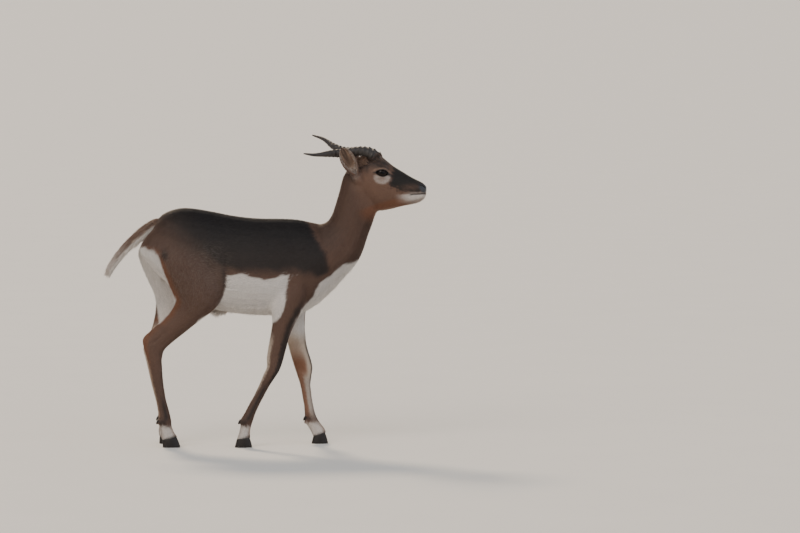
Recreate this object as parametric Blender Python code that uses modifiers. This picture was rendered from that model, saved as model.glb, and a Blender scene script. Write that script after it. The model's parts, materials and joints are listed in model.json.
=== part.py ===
"""A young male blackbuck as a still, life-size model, walking, in metres.

The animal faces +X, its left side is +Y, up is +Z, and the four feet stand on Z = 0.
Flesh is lofted from sections, fused, smoothed and then parted into named pieces by thin cuts.
"""

import math

import bmesh
import bpy
import numpy as np
from mathutils import Matrix, Vector

# Driving dimensions, in metres.
GAP = 0.0003                    # clear space kept between touching pieces
MERGE = 0.00002                 # points closer than this are welded
BODY_VOXEL = 0.0045             # grain at which body flesh is fused
HEAD_VOXEL = 0.0026
BODY_TRIANGLES = 4850
HEAD_TRIANGLES = 1900

# Sections of the trunk: (top x, top z, bottom x, bottom z, middle y, half width, egg).
# Egg above 0 carries the widest place towards the top point, below 0 towards the bottom one.
TRUNK = (
    (-0.375, 0.735, -0.405, 0.655, 0, 0.034, 0.0),
    (-0.352, 0.771, -0.385, 0.600, 0, 0.060, 0.0),
    (-0.315, 0.791, -0.330, 0.545, 0, 0.078, 0.1),
    (-0.266, 0.799, -0.275, 0.500, 0, 0.088, 0.1),
    (-0.190, 0.789, -0.195, 0.460, 0, 0.094, 0.0),
    (-0.110, 0.773, -0.110, 0.444, 0, 0.101, -0.08),
    (-0.030, 0.764, -0.030, 0.437, 0, 0.107, -0.12),
    (0.050, 0.763, 0.050, 0.437, 0, 0.103, -0.12),
    (0.105, 0.760, 0.115, 0.442, 0, 0.094, -0.08),
    (0.150, 0.751, 0.165, 0.466, 0, 0.085, -0.05),
    (0.185, 0.742, 0.215, 0.509, 0, 0.076, 0.0),
    (0.205, 0.725, 0.258, 0.556, 0, 0.062, 0.0),
    (0.225, 0.700, 0.280, 0.600, 0, 0.035, 0.0),
)
NECK = (
    (0.120, 0.740, 0.225, 0.530, 0, 0.076, -0.1),
    (0.165, 0.743, 0.262, 0.561, 0, 0.072, -0.1),
    (0.190, 0.745, 0.300, 0.602, 0, 0.064, -0.1),
    (0.211, 0.757, 0.326, 0.648, 0, 0.057, -0.08),
    (0.226, 0.785, 0.343, 0.700, 0, 0.052, -0.05),
    (0.238, 0.824, 0.360, 0.745, 0, 0.049, 0.0),
    (0.250, 0.866, 0.371, 0.776, 0, 0.047, 0.0),
    (0.262, 0.908, 0.384, 0.800, 0, 0.045, 0.0),
    (0.285, 0.938, 0.400, 0.835, 0, 0.040, 0.0),
)
NECK_ROOT, NECK_TOP = 3, 6      # stations of NECK where the neck is parted from trunk and head

# The head is drawn square to the side, then turned and tilted about HEAD_PIVOT.
HEAD = (
    (0.286, 0.925, 0.330, 0.815, 0, 0.036, 0.0),
    (0.303, 0.953, 0.352, 0.795, 0, 0.047, 0.05),
    (0.333, 0.970, 0.378, 0.787, 0, 0.054, 0.12),
    (0.363, 0.975, 0.402, 0.788, 0, 0.057, 0.20),
    (0.388, 0.971, 0.423, 0.793, 0, 0.055, 0.26),
    (0.406, 0.957, 0.440, 0.798, 0, 0.048, 0.22),
    (0.432, 0.937, 0.463, 0.804, 0, 0.039, 0.12),
    (0.462, 0.919, 0.490, 0.809, 0, 0.032, 0.05),
    (0.490, 0.902, 0.510, 0.814, 0, 0.028, 0.0),
    (0.510, 0.892, 0.524, 0.821, 0, 0.026, 0.05),
    (0.528, 0.883, 0.535, 0.831, 0, 0.022, 0.15),
    (0.541, 0.871, 0.540, 0.844, 0, 0.014, 0.15),
)
HEAD_PIVOT = Vector((0.35, 0.0, 0.88))
HEAD_YAW, HEAD_ROLL = math.radians(-7), math.radians(5)

# Legs: (front x, front z, back x, back z, middle y, half width), down to the coronet.
FORE_RIGHT = (
    (0.165, 0.610, 0.035, 0.600, -0.052, 0.038),
    (0.150, 0.525, 0.015, 0.505, -0.058, 0.041),
    (0.126, 0.455, 0.020, 0.455, -0.063, 0.035),
    (0.101, 0.413, 0.0235, 0.415, -0.065, 0.029),
    (0.081, 0.367, 0.0165, 0.370, -0.066, 0.024),
    (0.070, 0.325, 0.0085, 0.327, -0.066, 0.0205),
    (0.062, 0.295, 0.0045, 0.300, -0.066, 0.0200),
    (0.051, 0.262, 0.0050, 0.268, -0.066, 0.0212),
    (0.037, 0.238, -0.0050, 0.247, -0.066, 0.0190),
    (0.0175, 0.209, -0.0190, 0.214, -0.066, 0.0145),
    (-0.003, 0.171, -0.0385, 0.174, -0.066, 0.0122),
    (-0.021, 0.137, -0.0560, 0.142, -0.066, 0.0122),
    (-0.033, 0.108, -0.0710, 0.113, -0.066, 0.0145),
    (-0.041, 0.086, -0.0830, 0.091, -0.066, 0.0178),
    (-0.047, 0.067, -0.0830, 0.072, -0.066, 0.0158),
    (-0.050, 0.048, -0.0880, 0.049, -0.066, 0.0170),
    (-0.048, 0.030, -0.0960, 0.026, -0.066, 0.0190),
)
FORE_LEFT = (
    (0.180, 0.610, 0.050, 0.600, 0.052, 0.038),
    (0.160, 0.525, 0.028, 0.505, 0.058, 0.041),
    (0.136, 0.455, 0.036, 0.450, 0.063, 0.035),
    (0.131, 0.402, 0.053, 0.402, 0.065, 0.029),
    (0.133, 0.360, 0.067, 0.358, 0.066, 0.024),
    (0.139, 0.323, 0.076, 0.320, 0.066, 0.0205),
    (0.149, 0.292, 0.085, 0.288, 0.066, 0.0200),
    (0.157, 0.257, 0.096, 0.252, 0.066, 0.0212),
    (0.153, 0.228, 0.105, 0.225, 0.066, 0.0190),
    (0.150, 0.199, 0.113, 0.199, 0.066, 0.0145),
    (0.154, 0.161, 0.1200, 0.163, 0.066, 0.0122),
    (0.160, 0.124, 0.126, 0.127, 0.066, 0.0125),
    (0.165, 0.104, 0.128, 0.102, 0.066, 0.0148),
    (0.173, 0.083, 0.130, 0.077, 0.066, 0.0178),
    (0.186, 0.066, 0.141, 0.054, 0.066, 0.0158),
    (0.198, 0.050, 0.152, 0.036, 0.066, 0.0172),
    (0.202, 0.036, 0.157, 0.022, 0.066, 0.0190),
)
HIND_RIGHT = (
    (-0.170, 0.735, -0.340, 0.752, -0.030, 0.028),
    (-0.140, 0.692, -0.388, 0.718, -0.041, 0.040),
    (-0.118, 0.642, -0.422, 0.662, -0.050, 0.047),
    (-0.116, 0.585, -0.395, 0.618, -0.058, 0.047),
    (-0.122, 0.530, -0.345, 0.572, -0.064, 0.044),
    (-0.142, 0.490, -0.312, 0.522, -0.068, 0.039),
    (-0.180, 0.450, -0.303, 0.483, -0.069, 0.033),
    (-0.222, 0.420, -0.320, 0.450, -0.068, 0.027),
    (-0.262, 0.388, -0.352, 0.420, -0.067, 0.0225),
    (-0.302, 0.356, -0.387, 0.388, -0.066, 0.0190),
    (-0.334, 0.327, -0.410, 0.364, -0.066, 0.0192),
    (-0.343, 0.298, -0.404, 0.327, -0.066, 0.0185),
    (-0.3425, 0.270, -0.392, 0.283, -0.066, 0.0145),
    (-0.339, 0.222, -0.381, 0.225, -0.066, 0.0120),
    (-0.331, 0.165, -0.366, 0.165, -0.066, 0.0118),
    (-0.319, 0.118, -0.358, 0.118, -0.066, 0.0142),
    (-0.313, 0.090, -0.357, 0.088, -0.066, 0.0178),
    (-0.311, 0.068, -0.351, 0.062, -0.066, 0.0158),
    (-0.302, 0.048, -0.350, 0.038, -0.066, 0.0170),
    (-0.292, 0.034, -0.344, 0.022, -0.066, 0.0190),
)
HIND_LEFT = (
    (-0.170, 0.735, -0.340, 0.752, 0.030, 0.028),
    (-0.140, 0.692, -0.392, 0.714, 0.041, 0.040),
    (-0.120, 0.640, -0.432, 0.652, 0.050, 0.047),
    (-0.138, 0.580, -0.422, 0.602, 0.058, 0.047),
    (-0.165, 0.520, -0.400, 0.549, 0.064, 0.044),
    (-0.205, 0.470, -0.380, 0.506, 0.068, 0.038),
    (-0.245, 0.432, -0.373, 0.465, 0.069, 0.031),
    (-0.285, 0.398, -0.377, 0.425, 0.068, 0.0255),
    (-0.318, 0.365, -0.388, 0.385, 0.067, 0.0215),
    (-0.337, 0.335, -0.406, 0.348, 0.066, 0.0190),
    (-0.345, 0.310, -0.416, 0.322, 0.066, 0.0192),
    (-0.352, 0.282, -0.409, 0.292, 0.066, 0.0175),
    (-0.351, 0.240, -0.398, 0.244, 0.066, 0.0140),
    (-0.345, 0.190, -0.386, 0.191, 0.066, 0.0120),
    (-0.338, 0.145, -0.374, 0.146, 0.066, 0.0118),
    (-0.328, 0.112, -0.367, 0.111, 0.066, 0.0142),
    (-0.322, 0.086, -0.366, 0.083, 0.066, 0.0178),
    (-0.322, 0.064, -0.363, 0.058, 0.066, 0.0158),
    (-0.316, 0.046, -0.365, 0.036, 0.066, 0.0170),
    (-0.308, 0.033, -0.361, 0.021, 0.066, 0.0190),
)
# Stations of each leg where its lengths are parted, from the upper length down.
FORE_CUTS = {"forearm": 7, "cannon": 12, "foot": 16}
HIND_CUTS = {"thigh": 6, "gaskin": 11, "cannon": 15, "foot": 19}
FORE_FETLOCK, HIND_FETLOCK = 13, 16

# Slanted planes that part the legs from the trunk: two points (x, z) on each.
FORE_PLANE = ((0.030, 0.420), (0.170, 0.445))
HIND_PLANE = ((-0.128, 0.440), (-0.392, 0.765))

EYE_PLACE = Vector((0.3945, 0.0395, 0.9205))
EYE_RADIUS = 0.0200
EYE_LOOK = Vector((0.32, 1.0, 0.10)).normalized()
LID_DEPTH = 0.0030
LID_LONG, LID_HIGH = 0.0196, 0.0108
BROW_PLACE = Vector((-0.004, -0.010, 0.006))    # middle of the brow's swell, from the eye
BROW_SIZES = (0.029, 0.026, 0.026)

# The mouth: x of its corner and front, height, half width at each, and the groove's section.
MOUTH_CORNER, MOUTH_FRONT, MOUTH_HEIGHT = 0.482, 0.5400, 0.8460
MOUTH_WIDE, MOUTH_NARROW = 0.0325, 0.0240
GROOVE_DEPTH, GROOVE_HALF = 0.0035, 0.0008
# The slit of a nostril: (x, y, z, radius).
NOSTRIL = (
    (0.5130, 0.0240, 0.8800, 0.0012),
    (0.5200, 0.0232, 0.8790, 0.0028),
    (0.5290, 0.0205, 0.8755, 0.0036),
    (0.5360, 0.0160, 0.8710, 0.0032),
    (0.5410, 0.0125, 0.8680, 0.0016),
)

# The line each horn follows in the head's own frame: (x, y, z, radius). The two differ a little.
HORN_LINES = {
    -1: (
        (0.3765, 0.0270, 0.9583, 0.0165),
        (0.3662, 0.0290, 0.9753, 0.0168),
        (0.3479, 0.0340, 0.9877, 0.0160),
        (0.3252, 0.0380, 0.9927, 0.0158),
        (0.3003, 0.0420, 0.9924, 0.0160),
        (0.2756, 0.0470, 0.9896, 0.0158),
        (0.2515, 0.0560, 0.9876, 0.0144),
        (0.2319, 0.0680, 0.9884, 0.0126),
        (0.2125, 0.0820, 0.9882, 0.0107),
        (0.1934, 0.0980, 0.9880, 0.0082),
        (0.1742, 0.1140, 0.9896, 0.0053),
        (0.1474, 0.1360, 0.9962, 0.0014),
    ),
    1: (
        (0.3765, 0.0270, 0.9563, 0.0165),
        (0.3662, 0.0280, 0.9723, 0.0168),
        (0.3479, 0.0320, 0.9815, 0.0160),
        (0.3252, 0.0360, 0.9845, 0.0158),
        (0.3003, 0.0400, 0.9835, 0.0158),
        (0.2756, 0.0450, 0.9825, 0.0152),
        (0.2515, 0.0515, 0.9850, 0.0140),
        (0.2288, 0.0600, 0.9924, 0.0122),
        (0.2120, 0.0720, 1.0000, 0.0104),
        (0.1940, 0.0880, 1.0105, 0.0082),
        (0.1735, 0.1040, 1.0190, 0.0060),
        (0.1391, 0.1300, 1.0259, 0.0014),
    ),
}
HORN_RINGS = 14
RING_SHARE = 0.74               # rings reach this far along the horn
RING_RISE = 0.085               # rise of each ring over the radius
HORN_TWIST = 1.25               # turns of the horn's long section from base to tip
HORN_FLAT = 0.90

EAR_BASE = Vector((0.3100, 0.0430, 0.9150))
EAR_TIPS = {-1: Vector((0.2680, 0.0950, 1.0100)), 1: Vector((0.2570, 0.1080, 0.9830))}
EAR_OPEN = Vector((0.45, 1.0, -0.10))
# Sections of an ear: (share of length, half width, half depth, wrap in degrees, skin).
EAR = (
    (0.00, 0.0135, 0.0130, 165, 0.0110),
    (0.10, 0.0160, 0.0145, 158, 0.0100),
    (0.22, 0.0205, 0.0160, 142, 0.0045),
    (0.38, 0.0245, 0.0165, 122, 0.0028),
    (0.55, 0.0255, 0.0150, 108, 0.0024),
    (0.72, 0.0230, 0.0120, 98, 0.0022),
    (0.86, 0.0170, 0.0080, 90, 0.0020),
    (0.95, 0.0098, 0.0045, 85, 0.0018),
    (1.00, 0.0030, 0.0022, 80, 0.0012),
)

# The tail hangs from the croup: (x, z, half width, half depth) along its middle line. From the
# bend on this is the fleshy core, and the locks carry the form out to HAIR around the same line.
TAIL = (
    (-0.335, 0.748, 0.0190, 0.0160),
    (-0.368, 0.742, 0.0200, 0.0160),
    (-0.402, 0.722, 0.0190, 0.0145),
    (-0.440, 0.690, 0.0160, 0.0120),
    (-0.475, 0.655, 0.0130, 0.0100),
    (-0.503, 0.620, 0.0095, 0.0080),
    (-0.520, 0.592, 0.0040, 0.0040),
)
TAIL_HAIR = ((0.20, 0.0165, 0.0120), (0.45, 0.0205, 0.0150), (0.70, 0.0225, 0.0165),
             (0.95, 0.0150, 0.0120), (1.25, 0.0040, 0.0040))
TAIL_TIERS, TAIL_ROUND = 4, 4   # tiers of locks, and locks round the tail in each
TAIL_STARTS = (0.26, 0.735)     # where the first and the last tier start along the core
TAIL_LOCK_SHARE = 0.375         # length of a lock over the length of the core
TAIL_LOCK = (0.0090, 0.0036)    # half width and half thickness of a lock near its root

# The tuft below the belly: its root, and the (x, y, z) of its tips.
TUFT_ROOT = Vector((-0.119, 0, 0.4500))
TUFT_TIPS = ((-0.131, 0.004, 0.4170), (-0.144, -0.004, 0.4135), (-0.157, 0.004, 0.4170),
             (-0.169, -0.004, 0.4240))
TUFT_STEP = 0.0013              # each root lies so far behind the last
TUFT_LOCK, TUFT_SAG = (0.0058, 0.0035), 0.008

# The claws of a foot: width, distance from the foot's middle, share of the coronet's depth that
# they take, and how much each narrows to the toe. Then the heel and toe of each foot, in x.
CLAW_WIDTH, CLAW_APART, CLAW_TOP = 0.0182, 0.0099, 0.49
CLAW_POINT, CLAW_TAPER = 0.34, 0.10
CLAWS = {"fore_right": (-0.102, -0.044), "fore_left": (0.152, 0.208),
         "hind_right": (-0.342, -0.284), "hind_left": (-0.361, -0.301)}
FOOT_DEPTH = 0.012              # how far a foot's flesh runs on below the coronet before the cut

COLOURS = {                     # linear red, green, blue and roughness
    "dark coat": (0.022, 0.013, 0.009, 0.75),
    "brown coat": (0.085, 0.045, 0.025, 0.75),
    "pale coat": (0.55, 0.50, 0.44, 0.80),
    "ear skin": (0.30, 0.22, 0.18, 0.70),
    "horn sheath": (0.055, 0.045, 0.038, 0.45),
    "eye": (0.006, 0.004, 0.003, 0.08),
    "hoof": (0.012, 0.010, 0.009, 0.40),
}


def clear_scene():
    for thing in list(bpy.data.objects):
        bpy.data.objects.remove(thing, do_unlink=True)


def collection(name):
    made = bpy.data.collections.new(name)
    bpy.context.scene.collection.children.link(made)
    return made


def mesh_object(name, points, faces, where):
    mesh = bpy.data.meshes.new(name)
    mesh.from_pydata([tuple(p) for p in points], [], faces)
    made = bpy.data.objects.new(name, mesh)
    where.objects.link(made)
    return made


def smooth_rows(rows, steps):
    """Rows of numbers threaded on one smooth curve, with steps rows from each to the next."""
    table = np.array(rows, dtype=float)
    ends = np.vstack((2 * table[0] - table[1], table, 2 * table[-1] - table[-2]))
    out = []
    for i in range(1, len(ends) - 2):
        a, b, c, d = ends[i - 1:i + 3]
        for k in range(steps):
            t = k / steps
            out.append(0.5 * (2 * b + (c - a) * t + (2 * a - 5 * b + 4 * c - d) * t * t
                              + (3 * b - a - 3 * c + d) * t ** 3))
    out.append(table[-1])
    return np.array(out)


def skin_rings(name, rings, where):
    """A closed mesh through rings of equal length, each end closed on its middle point."""
    count = len(rings[0])
    points = [p for ring in rings for p in ring]
    faces = []
    for i in range(len(rings) - 1):
        for j in range(count):
            k = (j + 1) % count
            corner, across = i * count + j, (i + 1) * count + k
            faces.append((corner, i * count + k, across))
            faces.append((corner, across, (i + 1) * count + j))
    for ring, turn in ((0, -1), (len(rings) - 1, 1)):
        middle = len(points)
        points.append(sum((Vector(p) for p in rings[ring]), Vector()) / count)
        for j in range(count):
            pair = (ring * count + j, ring * count + (j + 1) % count)
            faces.append((*pair[::turn], middle))
    made = mesh_object(name, points, faces, where)
    face_outward(made)
    return made


def face_outward(made):
    bm = bmesh.new()
    bm.from_mesh(made.data)
    bmesh.ops.recalc_face_normals(bm, faces=bm.faces)
    if bm.calc_volume(signed=True) < 0:
        bmesh.ops.reverse_faces(bm, faces=bm.faces)
    bm.to_mesh(made.data)
    bm.free()


def profile_ring(row, sides):
    """An egg-shaped section that spans two profile points, square to the side view."""
    xa, za, xb, zb, y, half_width, egg = row
    middle = Vector(((xa + xb) / 2, y, (za + zb) / 2))
    half = Vector(((xa - xb) / 2, 0, (za - zb) / 2))
    ring = []
    for j in range(sides):
        angle = 2 * math.pi * j / sides
        up, out = math.cos(angle), math.sin(angle)
        ring.append(middle + half * up + Vector((0, half_width * out * (1 + egg * up), 0)))
    return ring


def profile_loft(name, rows, where, steps=4, sides=28):
    full = [tuple(row) + (0.0,) * (7 - len(row)) for row in rows]
    return skin_rings(name, [profile_ring(r, sides) for r in smooth_rows(full, steps)], where)


def tube_loft(name, rows, where, sides=12):
    """A round tube through rows of (point, radius)."""
    rings = []
    for i, (point, radius) in enumerate(rows):
        ahead = rows[min(i + 1, len(rows) - 1)][0] - rows[max(i - 1, 0)][0]
        side, up = cross_frame(ahead)
        ring = []
        for j in range(sides):
            angle = 2 * math.pi * j / sides
            ring.append(point + (side * math.cos(angle) + up * math.sin(angle)) * radius)
        rings.append(ring)
    return skin_rings(name, rings, where)


def cross_frame(ahead):
    ahead = ahead.normalized()
    side = ahead.cross(Vector((0, 0, 1)))
    if side.length < 0.2:
        side = ahead.cross(Vector((0, 1, 0)))
    side.normalize()
    return side, side.cross(ahead).normalized()


def ball(name, middle, sizes, where, segments=14, rings=8):
    bpy.ops.mesh.primitive_uv_sphere_add(segments=segments, ring_count=rings, radius=1)
    made = bpy.context.object
    made.name = name
    made.data.transform(Matrix.Translation(middle) @ Matrix.Diagonal((*sizes, 1)))
    for owner in list(made.users_collection):
        owner.objects.unlink(made)
    where.objects.link(made)
    return made


def apply_modifiers(made):
    """Puts the mesh as its modifiers leave it in the object itself."""
    bpy.context.view_layer.update()
    graph = bpy.context.evaluated_depsgraph_get()
    mesh = bpy.data.meshes.new_from_object(made.evaluated_get(graph))
    made.modifiers.clear()
    made.data = mesh


def joined(name, pieces, where):
    """One mesh object that holds all the pieces as they lie."""
    bm = bmesh.new()
    for piece in pieces:
        bm.from_mesh(piece.data)
        bpy.data.objects.remove(piece)
    mesh = bpy.data.meshes.new(name)
    bm.to_mesh(mesh)
    bm.free()
    made = bpy.data.objects.new(name, mesh)
    where.objects.link(made)
    return made


def fused(name, pieces, voxel, smoothing, triangles, where):
    """Overlapping closed pieces as one smooth flesh of about so many triangles."""
    made = joined(name, pieces, where)
    remesh = made.modifiers.new("fuse", "REMESH")
    remesh.mode = "VOXEL"
    remesh.voxel_size = voxel
    smooth = made.modifiers.new("smooth", "SMOOTH")
    smooth.factor = 0.5
    smooth.iterations = smoothing
    apply_modifiers(made)
    keep_largest(made)
    faces = sum(len(p.vertices) - 2 for p in made.data.polygons)
    thin = made.modifiers.new("thin", "DECIMATE")
    thin.ratio = min(1.0, triangles / faces)
    thin.use_collapse_triangulate = True
    apply_modifiers(made)
    keep_largest(made)
    return made


def islands(bm):
    """The connected surfaces of a mesh, as lists of faces."""
    left = set(bm.faces)
    out = []
    while left:
        todo = [left.pop()]
        found = list(todo)
        while todo:
            for edge in todo.pop().edges:
                for face in edge.link_faces:
                    if face in left:
                        left.remove(face)
                        todo.append(face)
                        found.append(face)
        out.append(found)
    return out


def keep_surface(made, score):
    """Keeps the one connected surface with the highest score."""
    bm = bmesh.new()
    bm.from_mesh(made.data)
    found = islands(bm)
    best = max(found, key=score)
    for faces in found:
        if faces is not best:
            bmesh.ops.delete(bm, geom=faces, context="FACES")
    loose = [v for v in bm.verts if not v.link_faces]
    bmesh.ops.delete(bm, geom=loose, context="VERTS")
    bm.to_mesh(made.data)
    bm.free()


def keep_largest(made):
    keep_surface(made, lambda faces: sum(f.calc_area() for f in faces))


def cut(made, cutter, solver="EXACT", operation="DIFFERENCE"):
    step = made.modifiers.new("cut", "BOOLEAN")
    step.operation = operation
    step.solver = solver
    step.object = cutter
    apply_modifiers(made)
    keep_largest(made)
    bpy.data.objects.remove(cutter)


def clean(made, merge=MERGE):
    """Welds points closer than merge, drops slivers and leaves triangles only."""
    bm = bmesh.new()
    bm.from_mesh(made.data)
    bmesh.ops.remove_doubles(bm, verts=bm.verts, dist=merge)
    bmesh.ops.dissolve_degenerate(bm, edges=bm.edges, dist=merge / 4)
    bmesh.ops.triangulate(bm, faces=bm.faces)
    bm.to_mesh(made.data)
    bm.free()


def side_plane(row):
    """The plane through a profile section: its middle, and its direction down the limb."""
    xa, za, xb, zb = row[:4]
    middle = Vector(((xa + xb) / 2, 0, (za + zb) / 2))
    across = Vector((xa - xb, 0, za - zb))
    return middle, Vector((across.z, 0, -across.x)).normalized()


def sliced(source, name, planes, near, where):
    """The part of source on the far side of every (point, normal) plane, each cut face closed.

    Of the surfaces left, the one with a point nearest to near is kept."""
    bm = bmesh.new()
    bm.from_mesh(source.data)
    for point, normal in planes:
        bmesh.ops.bisect_plane(bm, geom=bm.verts[:] + bm.edges[:] + bm.faces[:], dist=1e-6,
                               plane_co=point + normal * (GAP / 2), plane_no=normal,
                               clear_inner=True)
        rims = [e for e in bm.edges if e.is_boundary]
        bmesh.ops.holes_fill(bm, edges=rims, sides=0)
    mesh = bpy.data.meshes.new(name)
    bm.to_mesh(mesh)
    bm.free()
    made = bpy.data.objects.new(name, mesh)
    where.objects.link(made)
    keep_surface(made, lambda faces: -min((v.co - near).length for f in faces for v in f.verts))
    clean(made)
    return made


def head_turn():
    """Where the head's own frame lies on the animal."""
    turn = Matrix.Rotation(HEAD_YAW, 4, "Z") @ Matrix.Rotation(HEAD_ROLL, 4, "X")
    return Matrix.Translation(HEAD_PIVOT) @ turn @ Matrix.Translation(-HEAD_PIVOT)


def mirrored(point, side):
    return Vector((point[0], point[1] * side, point[2]))


def dewclaws(name, row, where):
    """The two small claws that hang behind a fetlock."""
    back = Vector((row[2], row[4], row[3]))
    out = []
    for side in (-1, 1):
        start = back + Vector((0.008, side * 0.010, 0.004))
        tip = back + Vector((-0.004, side * 0.013, -0.013))
        out.append(tube_loft(f"{name}_{side}", [(start, 0.0075), (start.lerp(tip, 0.6), 0.0060),
                                                (tip, 0.0025)], where, 8))
    return out


def lock(name, line, size, where):
    """A flat lock that tapers to its tip along line, whose rows are (point, across, out)."""
    rings = []
    for k, (point, across, out) in enumerate(line):
        share = k / (len(line) - 1)
        half = size[0] * (0.85 + 0.6 * share) * (1 - share ** 2) + 0.0006
        lift = size[1] * (1 - 0.85 * share)
        rings.append([point + across * half, point + out * lift,
                      point - across * half, point - out * lift])
    return skin_rings(name, rings, where)


def joined_to(made, pieces, where):
    """Fuses closed pieces to made in one union and keeps the largest closed surface."""
    group = bpy.data.collections.new("pieces")
    where.children.link(group)
    for piece in pieces:
        where.objects.unlink(piece)
        group.objects.link(piece)
    step = made.modifiers.new("join", "BOOLEAN")
    step.operation = "UNION"
    step.operand_type = "COLLECTION"
    step.collection = group
    step.solver = "EXACT"
    apply_modifiers(made)
    for piece in pieces:
        bpy.data.objects.remove(piece)
    bpy.data.collections.remove(group)
    keep_largest(made)
    clean(made)


def tail_locks(where):
    """Locks in tiers round the tail's core, each lying along it and rising to the hair's form."""
    draw = np.random.default_rng(11)
    line = smooth_rows(TAIL, 8)
    steps = np.linalg.norm(np.diff(line[:, :2], axis=0), axis=1)
    travel = np.concatenate(([0.0], np.cumsum(steps))) / steps.sum()
    end_slope = (line[-1, :2] - line[-6, :2]) / (travel[-1] - travel[-6])
    hair = np.array(TAIL_HAIR)
    y_axis = Vector((0, 1, 0))
    locks = []
    for number in range(TAIL_TIERS * TAIL_ROUND):
        tier, place = divmod(number, TAIL_ROUND)
        start = TAIL_STARTS[0] + (TAIL_STARTS[1] - TAIL_STARTS[0]) * tier / (TAIL_TIERS - 1)
        start += 0.04 * (place % 2)
        turn = 360 / TAIL_ROUND
        angle = math.radians(turn * (place + 0.5 * (tier % 2)) + draw.uniform(-8, 8))
        rows = []
        for share in (0, 0.33, 0.7, 1):
            at = start + TAIL_LOCK_SHARE * share * draw.uniform(0.94, 1.06)
            x, z = (np.interp(at, travel, line[:, c]) for c in (0, 1))
            ahead = Vector((end_slope[0], 0, end_slope[1])).normalized()
            if at > 1:
                x, z = line[-1, :2] + end_slope * (at - 1)
            elif at < 0.97:
                later = [np.interp(at + 0.03, travel, line[:, c]) for c in (0, 1)]
                ahead = Vector((later[0] - x, 0, later[1] - z)).normalized()
            up = Vector((-ahead.z, 0, ahead.x))
            out = y_axis * math.cos(angle) + up * math.sin(angle)
            wide, deep = (np.interp(at, hair[:, 0], hair[:, c]) for c in (1, 2))
            rise = 0.32 + 0.50 * min(1, share * 2.4)
            point = Vector((x, 0, z)) + y_axis * (math.cos(angle) * wide * rise)
            rows.append((point + up * (math.sin(angle) * deep * rise), ahead.cross(out), out))
        locks.append(lock(f"tail_lock_{number}", rows, TAIL_LOCK, where))
    return locks


def belly_locks(where):
    """The small tuft of hair that hangs below the belly."""
    locks = []
    for number, tip in enumerate(TUFT_TIPS):
        rows = []
        root = TUFT_ROOT + Vector((-TUFT_STEP * number, tip[1] / 2, 0))
        ahead = (Vector(tip) - root).normalized()
        for share in (0, 0.3, 0.65, 1):
            point = root.lerp(Vector(tip), share)
            point.z -= TUFT_SAG * math.sin(math.pi * share)
            rows.append((point, ahead.cross(Vector((0, 1, 0))).normalized(), Vector((0, 1, 0))))
        locks.append(lock(f"belly_lock_{number}", rows, TUFT_LOCK, where))
    return locks


def claw(name, coronet, heel, toe, y, side, where):
    """One hoof claw from just under the coronet down to a flat sole."""
    xa, za, xb, zb = coronet[:4]
    down = side_plane(coronet)[1] * GAP
    length, sides = toe - heel, 12
    rings = []
    for share in (0.0, 0.5, 1.0):
        ring = []
        for j in range(sides):
            angle = 2 * math.pi * j / sides
            along, out = math.cos(angle), math.sin(angle)
            taper = 1 - CLAW_POINT * max(along, 0) ** 2 - CLAW_TAPER * (along + 1) / 2
            top_x = (xa + xb) / 2 + (xa - xb) * CLAW_TOP * along
            top_z = (za + zb) / 2 + (za - zb) * CLAW_TOP * along
            x = (1 - share) * (top_x + down.x) + share * (heel + length * (1 + along) / 2)
            z = (1 - share) * (top_z + down.z)
            spread = CLAW_WIDTH / 2 * (0.94 + 0.06 * share)
            ring.append(Vector((x, y + side * CLAW_APART + spread * out * taper, z)))
        rings.append(ring)
    return skin_rings(name, rings, where)


def horn_rows(side, swell, sides=8):
    """Sections of a horn along its line, with the rings' rise and the slow twist."""
    line = smooth_rows(HORN_LINES[side], 10)
    steps = np.linalg.norm(np.diff(line[:, :3], axis=0), axis=1)
    travel = np.concatenate(([0.0], np.cumsum(steps)))
    total = travel[-1]
    fine = np.arange(0, total * RING_SHARE, total * RING_SHARE / HORN_RINGS / 4)
    fine = np.append(fine, np.linspace(total * RING_SHARE, total, 8))
    rings = []
    for where_on in fine:
        here = [np.interp(where_on, travel, line[:, k]) for k in range(4)]
        ahead = [np.interp(min(where_on + 0.004, total), travel, line[:, k]) for k in range(3)]
        behind = [np.interp(max(where_on - 0.004, 0), travel, line[:, k]) for k in range(3)]
        across, up = cross_frame(mirrored(ahead, side) - mirrored(behind, side))
        share = where_on / total
        wave = math.cos(2 * math.pi * HORN_RINGS * share / RING_SHARE)
        rise = RING_RISE * max(0.0, 1 - share / RING_SHARE) ** 0.4 * wave
        radius = here[3] * (1 + rise) + swell
        turn = side * 2 * math.pi * HORN_TWIST * share
        ring = []
        for j in range(sides):
            angle = 2 * math.pi * j / sides
            flat = 1 - (1 - HORN_FLAT) * math.sin(angle - turn) ** 2
            ring.append(mirrored(here, side)
                        + (across * math.cos(angle) + up * math.sin(angle)) * radius * flat)
        rings.append(ring)
    return rings


def room(name, rings, swell, where):
    """A cutter for the place that a swollen piece takes, its first end moved back by the swell too."""
    first, second = (sum(ring, Vector()) / len(ring) for ring in rings[:2])
    back = (first - second).normalized() * swell
    return skin_rings(name, [[p + back for p in rings[0]]] + rings[1:], where)


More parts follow.
